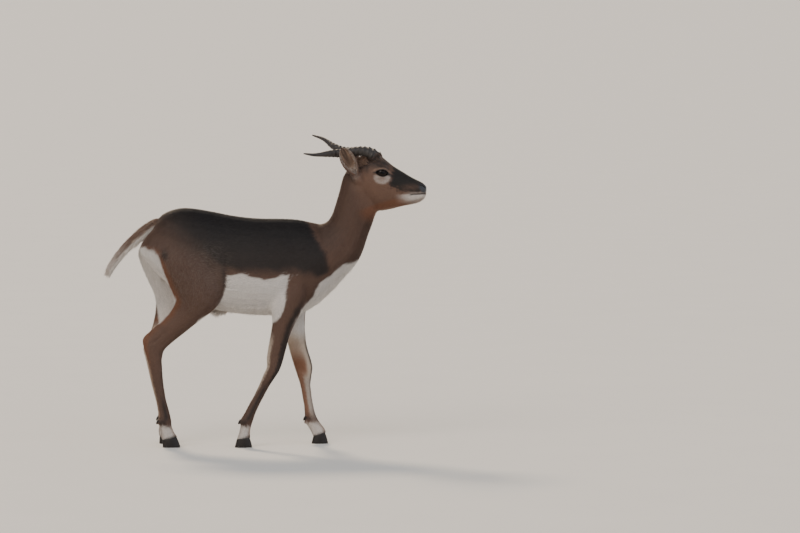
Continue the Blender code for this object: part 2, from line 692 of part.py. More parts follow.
def ear_rings(side, swell=None):
    """Sections of an ear: a cup open to one side, or its plain outer form with swell."""
    base, tip = mirrored(EAR_BASE, side), mirrored(EAR_TIPS[side], side)
    axis = (tip - base).normalized()
    opening = mirrored(EAR_OPEN, side)
    opening = (opening - axis * opening.dot(axis)).normalized()
    across = axis.cross(opening)
    half = 7
    rings = []
    rows = EAR if swell is None else EAR[:3]
    for share, wide, deep, wrap, skin in rows:
        middle = base.lerp(tip, share)
        ring = []
        if swell is None:
            outer = [math.radians(wrap) * (2 * k / half - 1) for k in range(half + 1)]
            for angle in outer:
                ring.append(middle + across * wide * math.sin(angle)
                            - opening * deep * math.cos(angle))
            for angle in reversed(outer):
                inside = angle * (1 - 0.04)
                ring.append(middle + across * (wide - skin) * math.sin(inside)
                            - opening * (deep - skin) * math.cos(inside))
        else:
            for k in range(2 * half):
                angle = math.pi * k / half
                ring.append(middle + across * (wide + swell) * math.sin(angle)
                            - opening * (deep + swell) * math.cos(angle))
        rings.append(ring)
    return rings


def tail_rings(swell, sides=12, steps=2):
    rows = smooth_rows(TAIL, steps)
    rings = []
    for i, (x, z, wide, deep) in enumerate(rows):
        before, after = rows[max(i - 1, 0)], rows[min(i + 1, len(rows) - 1)]
        ahead = Vector((after[0] - before[0], 0, after[1] - before[1])).normalized()
        up = Vector((-ahead.z, 0, ahead.x))
        ring = []
        for j in range(sides):
            angle = 2 * math.pi * j / sides
            ring.append(Vector((x, 0, z)) + Vector((0, 1, 0)) * math.cos(angle) * (wide + swell)
                        + up * math.sin(angle) * (deep + swell))
        rings.append(ring)
    return rings


def almond(side, where):
    """A long prism with an almond outline, set along the eye's look."""
    look, middle = mirrored(EYE_LOOK, side), mirrored(EYE_PLACE, side)
    along = (Vector((1, 0, -0.10)) - look * Vector((1, 0, -0.10)).dot(look)).normalized()
    high = along.cross(look) * -side
    rings = []
    for depth in (EYE_RADIUS * 0.35, EYE_RADIUS * 2):
        ring = []
        for j in range(16):
            angle = 2 * math.pi * j / 16
            lift = math.sin(angle)
            reach = math.cos(angle)
            ring.append(middle + look * depth + along * reach * LID_LONG
                        + high * LID_HIGH * lift * (1 - 0.25 * reach * reach))
        rings.append(ring)
    return skin_rings("almond", rings, where)


def mouth_groove(where):
    """A thin band that follows the closed lips from corner to corner round the muzzle."""
    rings = []
    count = 20
    for k in range(count + 1):
        angle = math.pi * (k / count - 0.5)
        reach = math.cos(angle) ** 0.55
        half_width = MOUTH_WIDE + (MOUTH_NARROW - MOUTH_WIDE) * reach
        middle = Vector((MOUTH_CORNER + (MOUTH_FRONT - MOUTH_CORNER) * reach,
                         half_width * math.copysign(abs(math.sin(angle)) ** 0.5, math.sin(angle)),
                         MOUTH_HEIGHT + 0.003 * reach - 0.002 * math.sin(math.pi * reach)))
        inward = Vector((MOUTH_CORNER + 0.018, 0, middle.z)) - middle
        inward = Vector((inward.x * 0.6, inward.y, 0)).normalized()
        lip = Vector((0, 0, GROOVE_HALF))
        rings.append([middle + inward * GROOVE_DEPTH + lip * 0.2,
                      middle - inward * GROOVE_DEPTH * 2 + lip * 2,
                      middle - inward * GROOVE_DEPTH * 2 - lip * 2,
                      middle + inward * GROOVE_DEPTH - lip * 0.2])
    return skin_rings("mouth", rings, where)


def nostril(side, where):
    return tube_loft("nostril", [(mirrored(row, side), row[3]) for row in NOSTRIL], where, 8)


def material(name):
    red, green, blue, roughness = COLOURS[name]
    made = bpy.data.materials.new(name)
    made.use_nodes = True
    shader = made.node_tree.nodes["Principled BSDF"]
    shader.inputs["Base Color"].default_value = (red, green, blue, 1)
    shader.inputs["Roughness"].default_value = roughness
    shader.inputs["Metallic"].default_value = 0
    made.diffuse_color = (red, green, blue, 1)
    return made


def give(made, name, finish, parts):
    """Names a finished piece, gives it its material and puts it among the parts."""
    made.name = name
    made.data.name = name
    for owner in list(made.users_collection):
        owner.objects.unlink(made)
    parts.objects.link(made)
    made.data.materials.clear()
    made.data.materials.append(material(finish))
    made.data.shade_smooth()
    made.data.set_sharp_from_angle(angle=math.radians(50))
    return made


def make_flesh(work):
    """Trunk, neck and the four legs as one skin."""
    pieces = [profile_loft("trunk", TRUNK, work, sides=36), profile_loft("neck", NECK, work)]
    legs = (("fore_right", FORE_RIGHT, FORE_FETLOCK), ("fore_left", FORE_LEFT, FORE_FETLOCK),
            ("hind_right", HIND_RIGHT, HIND_FETLOCK), ("hind_left", HIND_LEFT, HIND_FETLOCK))
    for name, rows, fetlock in legs:
        last = rows[-1]
        step = side_plane(last)[1] * FOOT_DEPTH
        below = (last[0] + step.x, last[1] + step.z, last[2] + step.x, last[3] + step.z, *last[4:])
        pieces.append(profile_loft(name, rows + (below,), work, steps=3, sides=20))
        pieces += dewclaws(name, rows[fetlock], work)
    flesh = fused("flesh", pieces, BODY_VOXEL, 3, BODY_TRIANGLES, work)
    clean(flesh)
    cut(flesh, room("tail_room", tail_rings(GAP * 2), GAP * 2, work))
    clean(flesh)
    return flesh


def make_head(work):
    turn = head_turn()
    skull = profile_loft("skull", HEAD, work, sides=32)
    pieces = [skull]
    for side in (-1, 1):
        eye = mirrored(EYE_PLACE, side)
        pieces.append(ball("brow", eye + mirrored(BROW_PLACE, side), BROW_SIZES, work))
        base, tip = mirrored(EAR_BASE, side), mirrored(EAR_TIPS[side], side)
        root = base - (tip - base) * 0.22
        pieces.append(tube_loft("ear_root", [(root, 0.022), (base, 0.0175),
                                             (base.lerp(tip, 0.06), 0.0145)], work, 14))
        line = HORN_LINES[side]
        pedicle = [(mirrored(line[k], side), line[k][3] * 1.12) for k in (0, 1)]
        pieces.append(tube_loft("pedicle", pedicle, work, 14))
    for piece in pieces:
        piece.data.transform(turn)
    pieces.append(profile_loft("nape", NECK[NECK_TOP - 2:], work))
    head = fused("head_flesh", pieces, HEAD_VOXEL, 3, HEAD_TRIANGLES, work)
    clean(head)
    for side in (-1, 1):
        eye = mirrored(EYE_PLACE, side)
        lid = ball("lid", eye, [EYE_RADIUS + LID_DEPTH] * 3, work, 18, 12)
        lid.data.transform(turn)
        cut(head, lid, operation="UNION")
        for cutter in (almond(side, work),
                       ball("eye_room", eye, [EYE_RADIUS + GAP] * 3, work),
                       room("horn_room", horn_rows(side, GAP * 2), GAP * 2, work),
                       room("ear_room", ear_rings(side, GAP * 2), GAP * 2, work),
                       nostril(side, work)):
            cutter.data.transform(turn)
            cut(head, cutter)
    groove = mouth_groove(work)
    groove.data.transform(turn)
    cut(head, groove)
    clean(head)
    return head


def make_leg(flesh, place, rows, cuts, top_plane, claws, parts, work):
    """The lengths of one leg from the trunk down, and its two claws."""
    side = 1 if rows[0][4] > 0 else -1
    middle = (Vector((0, 0, 0)), Vector((0, side, 0)))
    above = [top_plane, middle]
    previous = 0
    for length, station in cuts.items():
        point, down = side_plane(rows[station])
        mean = rows[(previous + station + 1) // 2]
        near = Vector(((mean[0] + mean[2]) / 2, mean[4], (mean[1] + mean[3]) / 2))
        piece = sliced(flesh, f"{place}_{length}", above + [(point, -down)], near, work)
        finish = "brown coat" if length in ("thigh", "forearm", "gaskin") else "pale coat"
        give(piece, f"{place}_{length}", finish, parts)
        above = [middle, (point, down)]
        previous = station
    heel, toe = claws
    for name, step in (("inner_claw", -side), ("outer_claw", side)):
        piece = claw(name, rows[-1], heel, toe, rows[-1][4], step, work)
        give(piece, f"{place}_{name}", "hoof", parts)


def centre(parts):
    """Moves every piece so that the middle of the whole model's box lies over the origin."""
    corners = [v.co for piece in parts.objects for v in piece.data.vertices]
    middle = [(min(c[k] for c in corners) + max(c[k] for c in corners)) / 2 for k in (0, 1)]
    for piece in parts.objects:
        piece.data.transform(Matrix.Translation((-middle[0], -middle[1], 0)))


def facing(direction, like):
    return direction if direction.dot(like) > 0 else -direction


def slant(points, like):
    """The slanted plane through two points of the side view, its normal on the side of like."""
    (xa, za), (xb, zb) = points
    return Vector((xa, 0, za)), facing(Vector((za - zb, 0, xb - xa)).normalized(), like)


def main():
    clear_scene()
    parts, work = collection("blackbuck"), collection("cutters")
    flesh, head = make_flesh(work), make_head(work)
    up, down = Vector((0, 0, 1)), Vector((0, 0, -1))

    root, top = (side_plane(NECK[k]) for k in (NECK_ROOT, NECK_TOP))
    above_root, above_top = facing(root[1], up), facing(top[1], up)
    piece = sliced(head, "head", [(top[0], above_top)], Vector((0.53, 0, 0.86)), work)
    give(piece, "head", "dark coat", parts)
    piece = sliced(flesh, "neck", [(root[0], above_root), (top[0], -above_top)],
                   Vector((0.30, 0.05, 0.75)), work)
    give(piece, "neck", "brown coat", parts)

    trunk_side = [slant(FORE_PLANE, up), slant(HIND_PLANE, up), (root[0], -above_root)]
    torso = sliced(flesh, "torso", trunk_side, Vector((-0.03, 0, 0.764)), work)
    joined_to(torso, belly_locks(work), work)
    give(torso, "torso", "dark coat", parts)
    for place, rows, cuts, plane in (
            ("fore_right", FORE_RIGHT, FORE_CUTS, FORE_PLANE),
            ("fore_left", FORE_LEFT, FORE_CUTS, FORE_PLANE),
            ("hind_right", HIND_RIGHT, HIND_CUTS, HIND_PLANE),
            ("hind_left", HIND_LEFT, HIND_CUTS, HIND_PLANE)):
        make_leg(flesh, place, rows, cuts, slant(plane, down), CLAWS[place], parts, work)

    tail = skin_rings("tail", tail_rings(0.0), work)
    joined_to(tail, tail_locks(work), work)
    give(tail, "tail", "dark coat", parts)
    turn = head_turn()
    for place, side in (("right", -1), ("left", 1)):
        eye = ball("eye", mirrored(EYE_PLACE, side), [EYE_RADIUS] * 3, work)
        horn = skin_rings("horn", horn_rows(side, 0.0), work)
        ear = skin_rings("ear", ear_rings(side), work)
        for piece, name, finish in ((eye, "eye", "eye"), (horn, "horn", "horn sheath"),
                                    (ear, "ear", "ear skin")):
            piece.data.transform(turn)
            give(piece, f"{name}_{place}", finish, parts)
    bpy.data.objects.remove(flesh)
    bpy.data.objects.remove(head)
    centre(parts)


main()
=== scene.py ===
# %% [markdown]
# # A young male blackbuck, walking
#
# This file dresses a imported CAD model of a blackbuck, life size. The CAD gives the frame, the size
# and the place of every part. Here one smooth skin takes the place of the parts of flesh, a coat
# of short hair grows over it as solid tufts, and eyes, ears, horns and hooves are made finer.
#
# Its nodes keep their places, and each piece made here rides on the model's one body.

# %% Load the frame
import json
import math

import bmesh
import bpy
import numpy as np
from mathutils import Matrix, Vector, noise
from mathutils.bvhtree import BVHTree

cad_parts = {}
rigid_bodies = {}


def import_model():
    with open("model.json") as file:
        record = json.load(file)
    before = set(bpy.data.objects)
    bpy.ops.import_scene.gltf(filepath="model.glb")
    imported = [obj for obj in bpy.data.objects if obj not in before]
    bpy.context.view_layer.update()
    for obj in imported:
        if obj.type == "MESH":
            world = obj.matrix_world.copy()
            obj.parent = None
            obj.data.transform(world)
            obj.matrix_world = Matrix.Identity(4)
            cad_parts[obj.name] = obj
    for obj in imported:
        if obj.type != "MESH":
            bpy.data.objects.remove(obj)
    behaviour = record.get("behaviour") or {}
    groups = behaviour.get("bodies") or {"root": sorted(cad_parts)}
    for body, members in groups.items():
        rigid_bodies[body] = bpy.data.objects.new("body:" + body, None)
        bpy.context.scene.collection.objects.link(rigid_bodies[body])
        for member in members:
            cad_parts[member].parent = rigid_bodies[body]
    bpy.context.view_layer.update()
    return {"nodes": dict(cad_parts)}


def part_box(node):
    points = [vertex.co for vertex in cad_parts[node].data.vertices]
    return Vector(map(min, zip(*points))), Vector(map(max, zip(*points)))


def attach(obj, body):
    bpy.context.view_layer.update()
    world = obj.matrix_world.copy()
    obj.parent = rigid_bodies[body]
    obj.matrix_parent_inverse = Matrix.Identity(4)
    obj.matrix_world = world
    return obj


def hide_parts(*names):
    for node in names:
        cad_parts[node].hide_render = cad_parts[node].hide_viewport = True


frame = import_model()
MM = 0.001
SIDES = ((-1, "right"), (1, "left"))    # the sign of Y on each side, and its word
BATCH = 20000                           # places handled at once, to spare memory

# %% [markdown]
# ## Drawn places
#
# All sizes below were drawn in one set of axes: X forward, Y to the animal's left, Z up, with the
# head first drawn square and then turned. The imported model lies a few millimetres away, because
# its box was centred over the origin. One eye, whose drawn place is known, measures that step, so
# every later number can stay as it was drawn.

# %% From drawn places to the frame
HEAD_PIVOT = Vector((0.35, 0, 0.88))
HEAD_YAW, HEAD_ROLL = math.radians(-7), math.radians(5)
EYE_PLACE = Vector((0.3945, 0.0395, 0.9205))
EYE_RADIUS = 0.0200
EYE_LOOK = Vector((0.32, 1.0, 0.10)).normalized()

head_turn = (Matrix.Translation(HEAD_PIVOT) @ Matrix.Rotation(HEAD_YAW, 4, "Z")
             @ Matrix.Rotation(HEAD_ROLL, 4, "X") @ Matrix.Translation(-HEAD_PIVOT))


def mirrored(point, side):
    return Vector((point[0], point[1] * side, point[2]))


def unit(vectors):
    """Rows of vectors, each with its length made 1."""
    return vectors / np.linalg.norm(vectors, axis=-1, keepdims=True)


low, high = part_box("eye_left")
step = (low + high) / 2 - head_turn @ EYE_PLACE
step.z = 0
STEP = np.array(step)
to_frame = Matrix.Translation(step)
head_to_frame = to_frame @ head_turn
print("step from drawn places to the frame", tuple(round(v, 5) for v in step))

# %% Where horns and ears stand
# The middle line of each horn and its radius (x, y, z, r), and the ends of each ear's axis.
HORN_LINES = {
    -1: ((0.3765, 0.0270, 0.9583, 0.0165), (0.3662, 0.0290, 0.9753, 0.0168),
         (0.3479, 0.0340, 0.9877, 0.0160), (0.3252, 0.0380, 0.9927, 0.0158),
         (0.3003, 0.0420, 0.9924, 0.0160), (0.2756, 0.0470, 0.9896, 0.0158),
         (0.2515, 0.0560, 0.9876, 0.0144), (0.2319, 0.0680, 0.9884, 0.0126),
         (0.2125, 0.0820, 0.9882, 0.0107), (0.1934, 0.0980, 0.9880, 0.0082),
         (0.1742, 0.1140, 0.9896, 0.0057), (0.1474, 0.1360, 0.9962, 0.0022)),
    1: ((0.3765, 0.0270, 0.9563, 0.0165), (0.3662, 0.0280, 0.9723, 0.0168),
        (0.3479, 0.0320, 0.9815, 0.0160), (0.3252, 0.0360, 0.9845, 0.0158),
        (0.3003, 0.0400, 0.9835, 0.0158), (0.2756, 0.0450, 0.9825, 0.0152),
        (0.2515, 0.0515, 0.9850, 0.0140), (0.2288, 0.0600, 0.9924, 0.0122),
        (0.2120, 0.0720, 1.0000, 0.0104), (0.1940, 0.0880, 1.0105, 0.0082),
        (0.1735, 0.1040, 1.0190, 0.0064), (0.1391, 0.1300, 1.0259, 0.0024)),
}
HORN_ROOT, HORN_ROOT_LONG = 0.42, 0.019     # the root is narrower, and over this length
BETWEEN_LEGS = -0.15                        # drawn x between the forelegs and the hind legs
EAR_BASE = (0.3100, 0.0430, 0.9150)
EAR_TIPS = {-1: (0.2680, 0.0950, 1.0100), 1: (0.2570, 0.1080, 0.9830)}

# %% [markdown]
# ## Colours and the node helper
#
# Colours are written as sRGB hex, the way a picker shows them, and one function turns them to the
# linear numbers that Blender mixes. Every shader below is built with one small helper that adds a
# node, sets its values and links its inputs in a single call.

# %% Colours and nodes
def linear(code):
    """Linear red, green and blue of an sRGB hex colour."""
    parts = np.array([int(code[k:k + 2], 16) / 255 for k in (0, 2, 4)])
    return np.where(parts <= 0.04045, parts / 12.92, ((parts + 0.055) / 1.055) ** 2.4)


HAIR = {name: linear(code) for name, code in {
    "black": "121013", "dark": "28201d", "brown": "60483c", "rust": "7d4e33", "white": "dcd6d0",
    "cream": "c8b7a6", "ash": "a2978f", "mask": "171310", "cheek": "6e5345", "ring": "c3bab3",
    "nose": "2f3238", "fawn": "a08470"}.items()}


def new_material(name):
    """A new material, its node tree and its main shader."""
    made = bpy.data.materials.new(name)
    made.use_nodes = True
    tree = made.node_tree
    return made, tree, tree.nodes["Principled BSDF"]


def add(tree, kind, links=None, **settings):
    """Adds a node. Settings with a name that the node has are set on it, others on its inputs."""
    node = tree.nodes.new(kind)
    for key, value in settings.items():
        if hasattr(node, key):
            setattr(node, key, value)
        else:
            set_inputs(node, **{key: value})
    for target, source in (links or {}).items():
        tree.links.new(source, node.inputs[target])
    return node


def set_inputs(node, **values):
    """Sets inputs of a node by their names, written with _ for each space."""
    for key, value in values.items():
        node.inputs[key.replace("_", " ")].default_value = value


def two_tones(tree, share, first, second):
    """One sRGB colour turning into another by a share from 0 to 1."""
    node = add(tree, "ShaderNodeMix", {"Factor": share}, data_type="RGBA")
    node.inputs[6].default_value = (*linear(first), 1)
    node.inputs[7].default_value = (*linear(second), 1)
    return node.outputs[2]


def dress(made, finish, slot, *stands_for):
    """Gives a piece its material and its body, and hides the nodes that it stands for. The slot is
    not used.
    """
    made.data.materials.append(finish)
    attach(made, "root")
    if stands_for:
        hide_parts(*stands_for)


print(len(HAIR), "hair colours")

# %% [markdown]
# ## The skin
#
# The flesh of the model comes in named parts that meet with hair-thin gaps. A real animal has one
# skin over all of it. Bridging the parts by hand would be slow, so copies of them are swelled by
# less than half a millimetre until they touch, and a voxel remesh wraps the whole with one closed
# surface. The tuft below the belly and the tail's locks are left out: they are hair, not skin, so
# the tail gets a plain fleshy core.

# %% Copies of the flesh
def shade_smooth(made):
    made.data.polygons.foreach_set("use_smooth", np.ones(len(made.data.polygons), bool))


def mesh_piece(name, points, faces):
    mesh = bpy.data.meshes.new(name)
    mesh.from_pydata([tuple(p) for p in points], [], faces)
    made = bpy.data.objects.new(name, mesh)
    bpy.context.scene.collection.objects.link(made)
    return made


def smooth_rows(rows, steps):
    """Rows of numbers threaded on one smooth curve, with steps rows from each to the next."""
    table = np.array(rows, dtype=float)
    ends = np.vstack((2 * table[0] - table[1], table, 2 * table[-1] - table[-2]))
    out = []
    for i in range(1, len(ends) - 2):
        a, b, c, d = ends[i - 1:i + 3]
        for t in np.arange(steps) / steps:
            out.append(0.5 * (2 * b + (c - a) * t + (2 * a - 5 * b + 4 * c - d) * t * t
                              + (3 * b - a - 3 * c + d) * t ** 3))
    return np.array(out + [table[-1]])


def ring_faces(rings, count):
    """The quads between rings of count points each."""
    return [(i * count + j, i * count + (j + 1) % count,
             (i + 1) * count + (j + 1) % count, (i + 1) * count + j)
            for i in range(rings - 1) for j in range(count)]


def face_outward(made, closed=True):
    """Turns all faces outward and shades them smooth."""
    bm = bmesh.new()
    bm.from_mesh(made.data)
    bmesh.ops.recalc_face_normals(bm, faces=bm.faces)
    if closed and bm.calc_volume(signed=True) < 0:
        bmesh.ops.reverse_faces(bm, faces=bm.faces)
    bm.to_mesh(made.data)
    bm.free()
    shade_smooth(made)


def skin_rings(name, rings):
    """A closed mesh through rings of equal length, each end closed on its middle point."""
    count = len(rings[0])
    points = [p for ring in rings for p in ring]
    faces = ring_faces(len(rings), count)
    for ring, turn in ((0, -1), (len(rings) - 1, 1)):
        faces += [(*(ring * count + j, ring * count + (j + 1) % count)[::turn], len(points))
                  for j in range(count)]
        points.append(sum((Vector(p) for p in rings[ring]), Vector()) / count)
    made = mesh_piece(name, points, faces)
    face_outward(made)
    return made


# The middle line of the tail: (x, z, half width, half depth).
TAIL = (
    (-0.335, 0.748, 0.0190, 0.0160),
    (-0.368, 0.742, 0.0200, 0.0160),
    (-0.402, 0.722, 0.0190, 0.0145),
    (-0.440, 0.690, 0.0160, 0.0120),
    (-0.475, 0.655, 0.0130, 0.0100),
    (-0.503, 0.620, 0.0095, 0.0080),
    (-0.520, 0.592, 0.0040, 0.0040),
)
SWELL = 0.45 * MM
# The belly's hair tuft hangs below this height, between these x, this far to each side.
TUFT_BELOW, TUFT_BACK, TUFT_FRONT, TUFT_HALF = 0.4435, -0.18, -0.10, 0.03
EAR_CORE = 0.0118               # radius of the flesh in an ear's root
flesh_names = sorted(n for n in frame["nodes"] if n != "tail" and "claw" not in n
                     and not n.startswith(("eye", "ear", "horn")))


def flesh_copies():
    """All parts of flesh as one bmesh, each swelled a little, without the belly's tuft."""
    bm = bmesh.new()
    for name in flesh_names:
        part = bmesh.new()
        part.from_mesh(frame["nodes"][name].data)
        bmesh.ops.remove_doubles(part, verts=part.verts, dist=1e-6)
        if name == "torso":
            hair = [v for v in part.verts if v.co.z < TUFT_BELOW
                    and TUFT_BACK < v.co.x < TUFT_FRONT and abs(v.co.y - step.y) < TUFT_HALF]
            bmesh.ops.delete(part, geom=hair, context="VERTS")
            bmesh.ops.holes_fill(part, edges=[e for e in part.edges if e.is_boundary], sides=0)
        bmesh.ops.recalc_face_normals(part, faces=part.faces)
        part.normal_update()
        for v, co in [(v, v.co + v.normal * SWELL) for v in part.verts]:
            v.co = co
        mesh = bpy.data.meshes.new("swelled")
        part.to_mesh(mesh)
        part.free()
        bm.from_mesh(mesh)
        bpy.data.meshes.remove(mesh)
    return bm


def tail_core():
    """The fleshy tail under its hair, a little thinner than the drawn form."""
    rings = []
    rows = smooth_rows(TAIL, 4)
    for i, (x, z, wide, deep) in enumerate(rows):
        forward, rise = (rows[min(i + 1, len(rows) - 1)] - rows[max(i - 1, 0)])[:2]
        ahead = Vector((forward, 0, rise)).normalized()
        up = Vector((-ahead.z, 0, ahead.x))
        angles = [2 * math.pi * j / 20 for j in range(20)]
        rings.append([step + Vector((x, 0, z)) + Vector((0, math.cos(a) * wide, 0))
                      + up * math.sin(a) * deep for a in angles])
    return skin_rings("tail_core", rings)


def fill_sockets(bm):
    """Cores of flesh inside the roots of horns and ears, so that the skin runs on under them."""
    base = np.array(EAR_BASE)
    for side, _ in SIDES:
        rows = np.array(HORN_LINES[side])
        spots = [((rows[0] + (rows[1] - rows[0]) * t) * (1, 1, 1, HORN_ROOT + (1 - HORN_ROOT) * t),
                  -0.8 * MM) for t in (0, 0.35, 0.7, 1.0)]
        spots += [((*(base + (np.array(EAR_TIPS[side]) - base) * t), EAR_CORE), 0)
                  for t in (-0.06, -0.01, 0.04, 0.09)]
        for (x, y, z, radius), less in spots:
            place = Matrix.Translation(head_to_frame @ Vector((x, y * side, z)))
            bmesh.ops.create_uvsphere(bm, u_segments=20, v_segments=12, radius=radius + less,
                                      matrix=place)


bm = flesh_copies()
fill_sockets(bm)
core = tail_core()
bm.from_mesh(core.data)
bpy.data.objects.remove(core)
skin = mesh_piece("skin", [], [])
bm.to_mesh(skin.data)
bm.free()
print(len(flesh_names), "parts of flesh under one skin")

# %% [markdown]
# The remesh is fine, so its steps are smoothed away. Plain smoothing shrinks thin legs, so each
# pass pulls the points together and then pushes them back a little further, which only removes
# the short waves. Near the eyes, nostrils and lips the passes are weaker, to keep their edges.

# %% One closed skin
SKIN_VOXEL = 1.7 * MM
SKIN_TRIANGLES = 170000
SMOOTH_PASSES, PULL, PUSH = 34, 0.60, -0.62


def applied(made):
    """Puts the mesh as its modifiers leave it in the object itself."""
    bpy.context.view_layer.update()
    graph = bpy.context.evaluated_depsgraph_get()
    mesh = bpy.data.meshes.new_from_object(made.evaluated_get(graph))
    made.modifiers.clear()
    made.data = mesh


def values_of(items, key, size=3, kind=np.float32):
    """One property of every vertex, edge or triangle, as rows of numbers."""
    out = np.empty(len(items) * size, kind)
    items.foreach_get(key, out)
    return out.reshape(-1, size)


def points_of(made):
    return values_of(made.data.vertices, "co").astype(float)


def normals_of(made):
    return values_of(made.data.vertex_normals, "vector").astype(float)


def put_points(made, points):
    made.data.vertices.foreach_set("co", points.astype(np.float32).ravel())
    made.data.update()


def smoothed(points, edges, passes, weight):
    """Points with short waves taken off and the volume kept."""
    a, b = edges.T
    count = len(points)
    degree = np.bincount(a, minlength=count) + np.bincount(b, minlength=count)
    for number in range(passes * 2):
        mean = np.empty_like(points)
        for axis in range(3):
            mean[:, axis] = (np.bincount(a, points[b, axis], count)
                             + np.bincount(b, points[a, axis], count)) / degree
        factor = PULL if number % 2 == 0 else PUSH
        points = points + (mean - points) * (weight * factor)[:, None]
    return points


remesh = skin.modifiers.new("wrap", "REMESH")
remesh.mode = "VOXEL"
remesh.voxel_size = SKIN_VOXEL
applied(skin)

# Places on the face that keep their edges: (x, y, z, reach), in the head's drawn frame.
FACE_EDGES = ((0.3945, 0.0395, 0.9205, 0.030), (0.527, 0.018, 0.876, 0.018),
              (0.515, 0.026, 0.846, 0.020), (0.538, 0.0, 0.850, 0.020))
points = points_of(skin)
weight = np.ones(len(points))
for x, y, z, reach in FACE_EDGES:
    for side in (-1, 1):
        away = np.linalg.norm(points - np.array(head_to_frame @ Vector((x, y * side, z))), axis=1)
        weight = np.minimum(weight, 0.12 + 0.88 * np.clip(away / reach - 0.7, 0, 1))
edges = values_of(skin.data.edges, "vertices", 2, np.int32)
put_points(skin, smoothed(points, edges, SMOOTH_PASSES, weight))

thin = skin.modifiers.new("thin", "DECIMATE")
thin.ratio = SKIN_TRIANGLES / sum(len(p.vertices) - 2 for p in skin.data.polygons)
applied(skin)
print("skin", len(skin.data.vertices), "points", len(skin.data.polygons), "faces")

# %% [markdown]
# ## The lie of the coat
#
# Hair doesn't stand at right angles to the skin. It lies from the nose up over the face, down the
# neck, back along the trunk and down the legs. Painting a direction by hand on thousands of points
# is slow, so a few dozen lines are drawn along the animal, each in the way the hair runs, with the
# hair's length and how far it stands off the skin. Every point of the skin then takes a mean of
# what is near it, the nearest counting most.

# %% Leg lines measured from the skin
points = points_of(skin)


def leg_line(front, side, top):
    """Middle and half sizes of one leg at steps of height: rows of x, y, z, half x, half y."""
    here = points[(points[:, 2] < top) & ((points[:, 0] > BETWEEN_LEGS) == front)
                  & ((points[:, 1] - step.y) * side > 0.012)]
    rows = []
    for z in np.arange(0.030, top, 0.012):
        ring = here[abs(here[:, 2] - z) < 0.005]
        low, high = ring.min(axis=0), ring.max(axis=0)
        rows.append((*((low + high) / 2)[:2], z, *((high - low) / 2)[:2]))
    return np.array(rows[::-1])


def leg_at(line, z, *columns):
    """Some columns of a leg's line at heights z."""
    order = line[::-1]
    return [np.interp(z, order[:, 2], order[:, k]) for k in columns]


def leg_quarter(name, x, y):
    """Whether drawn places lie in the quarter of the body where a leg stands."""
    return ((x > BETWEEN_LEGS) == name.startswith("fore")) & ((y > 0) == name.endswith("left"))


LEG_TOP = {"fore": 0.405, "hind": 0.435}
legs = {f"{pair}_{name}": leg_line(pair == "fore", side, top)
        for pair, top in LEG_TOP.items() for side, name in SIDES}
for name, rows in legs.items():
    print(name, len(rows), "levels, half widths", rows[[0, len(rows) // 2, -1], 4].round(4))

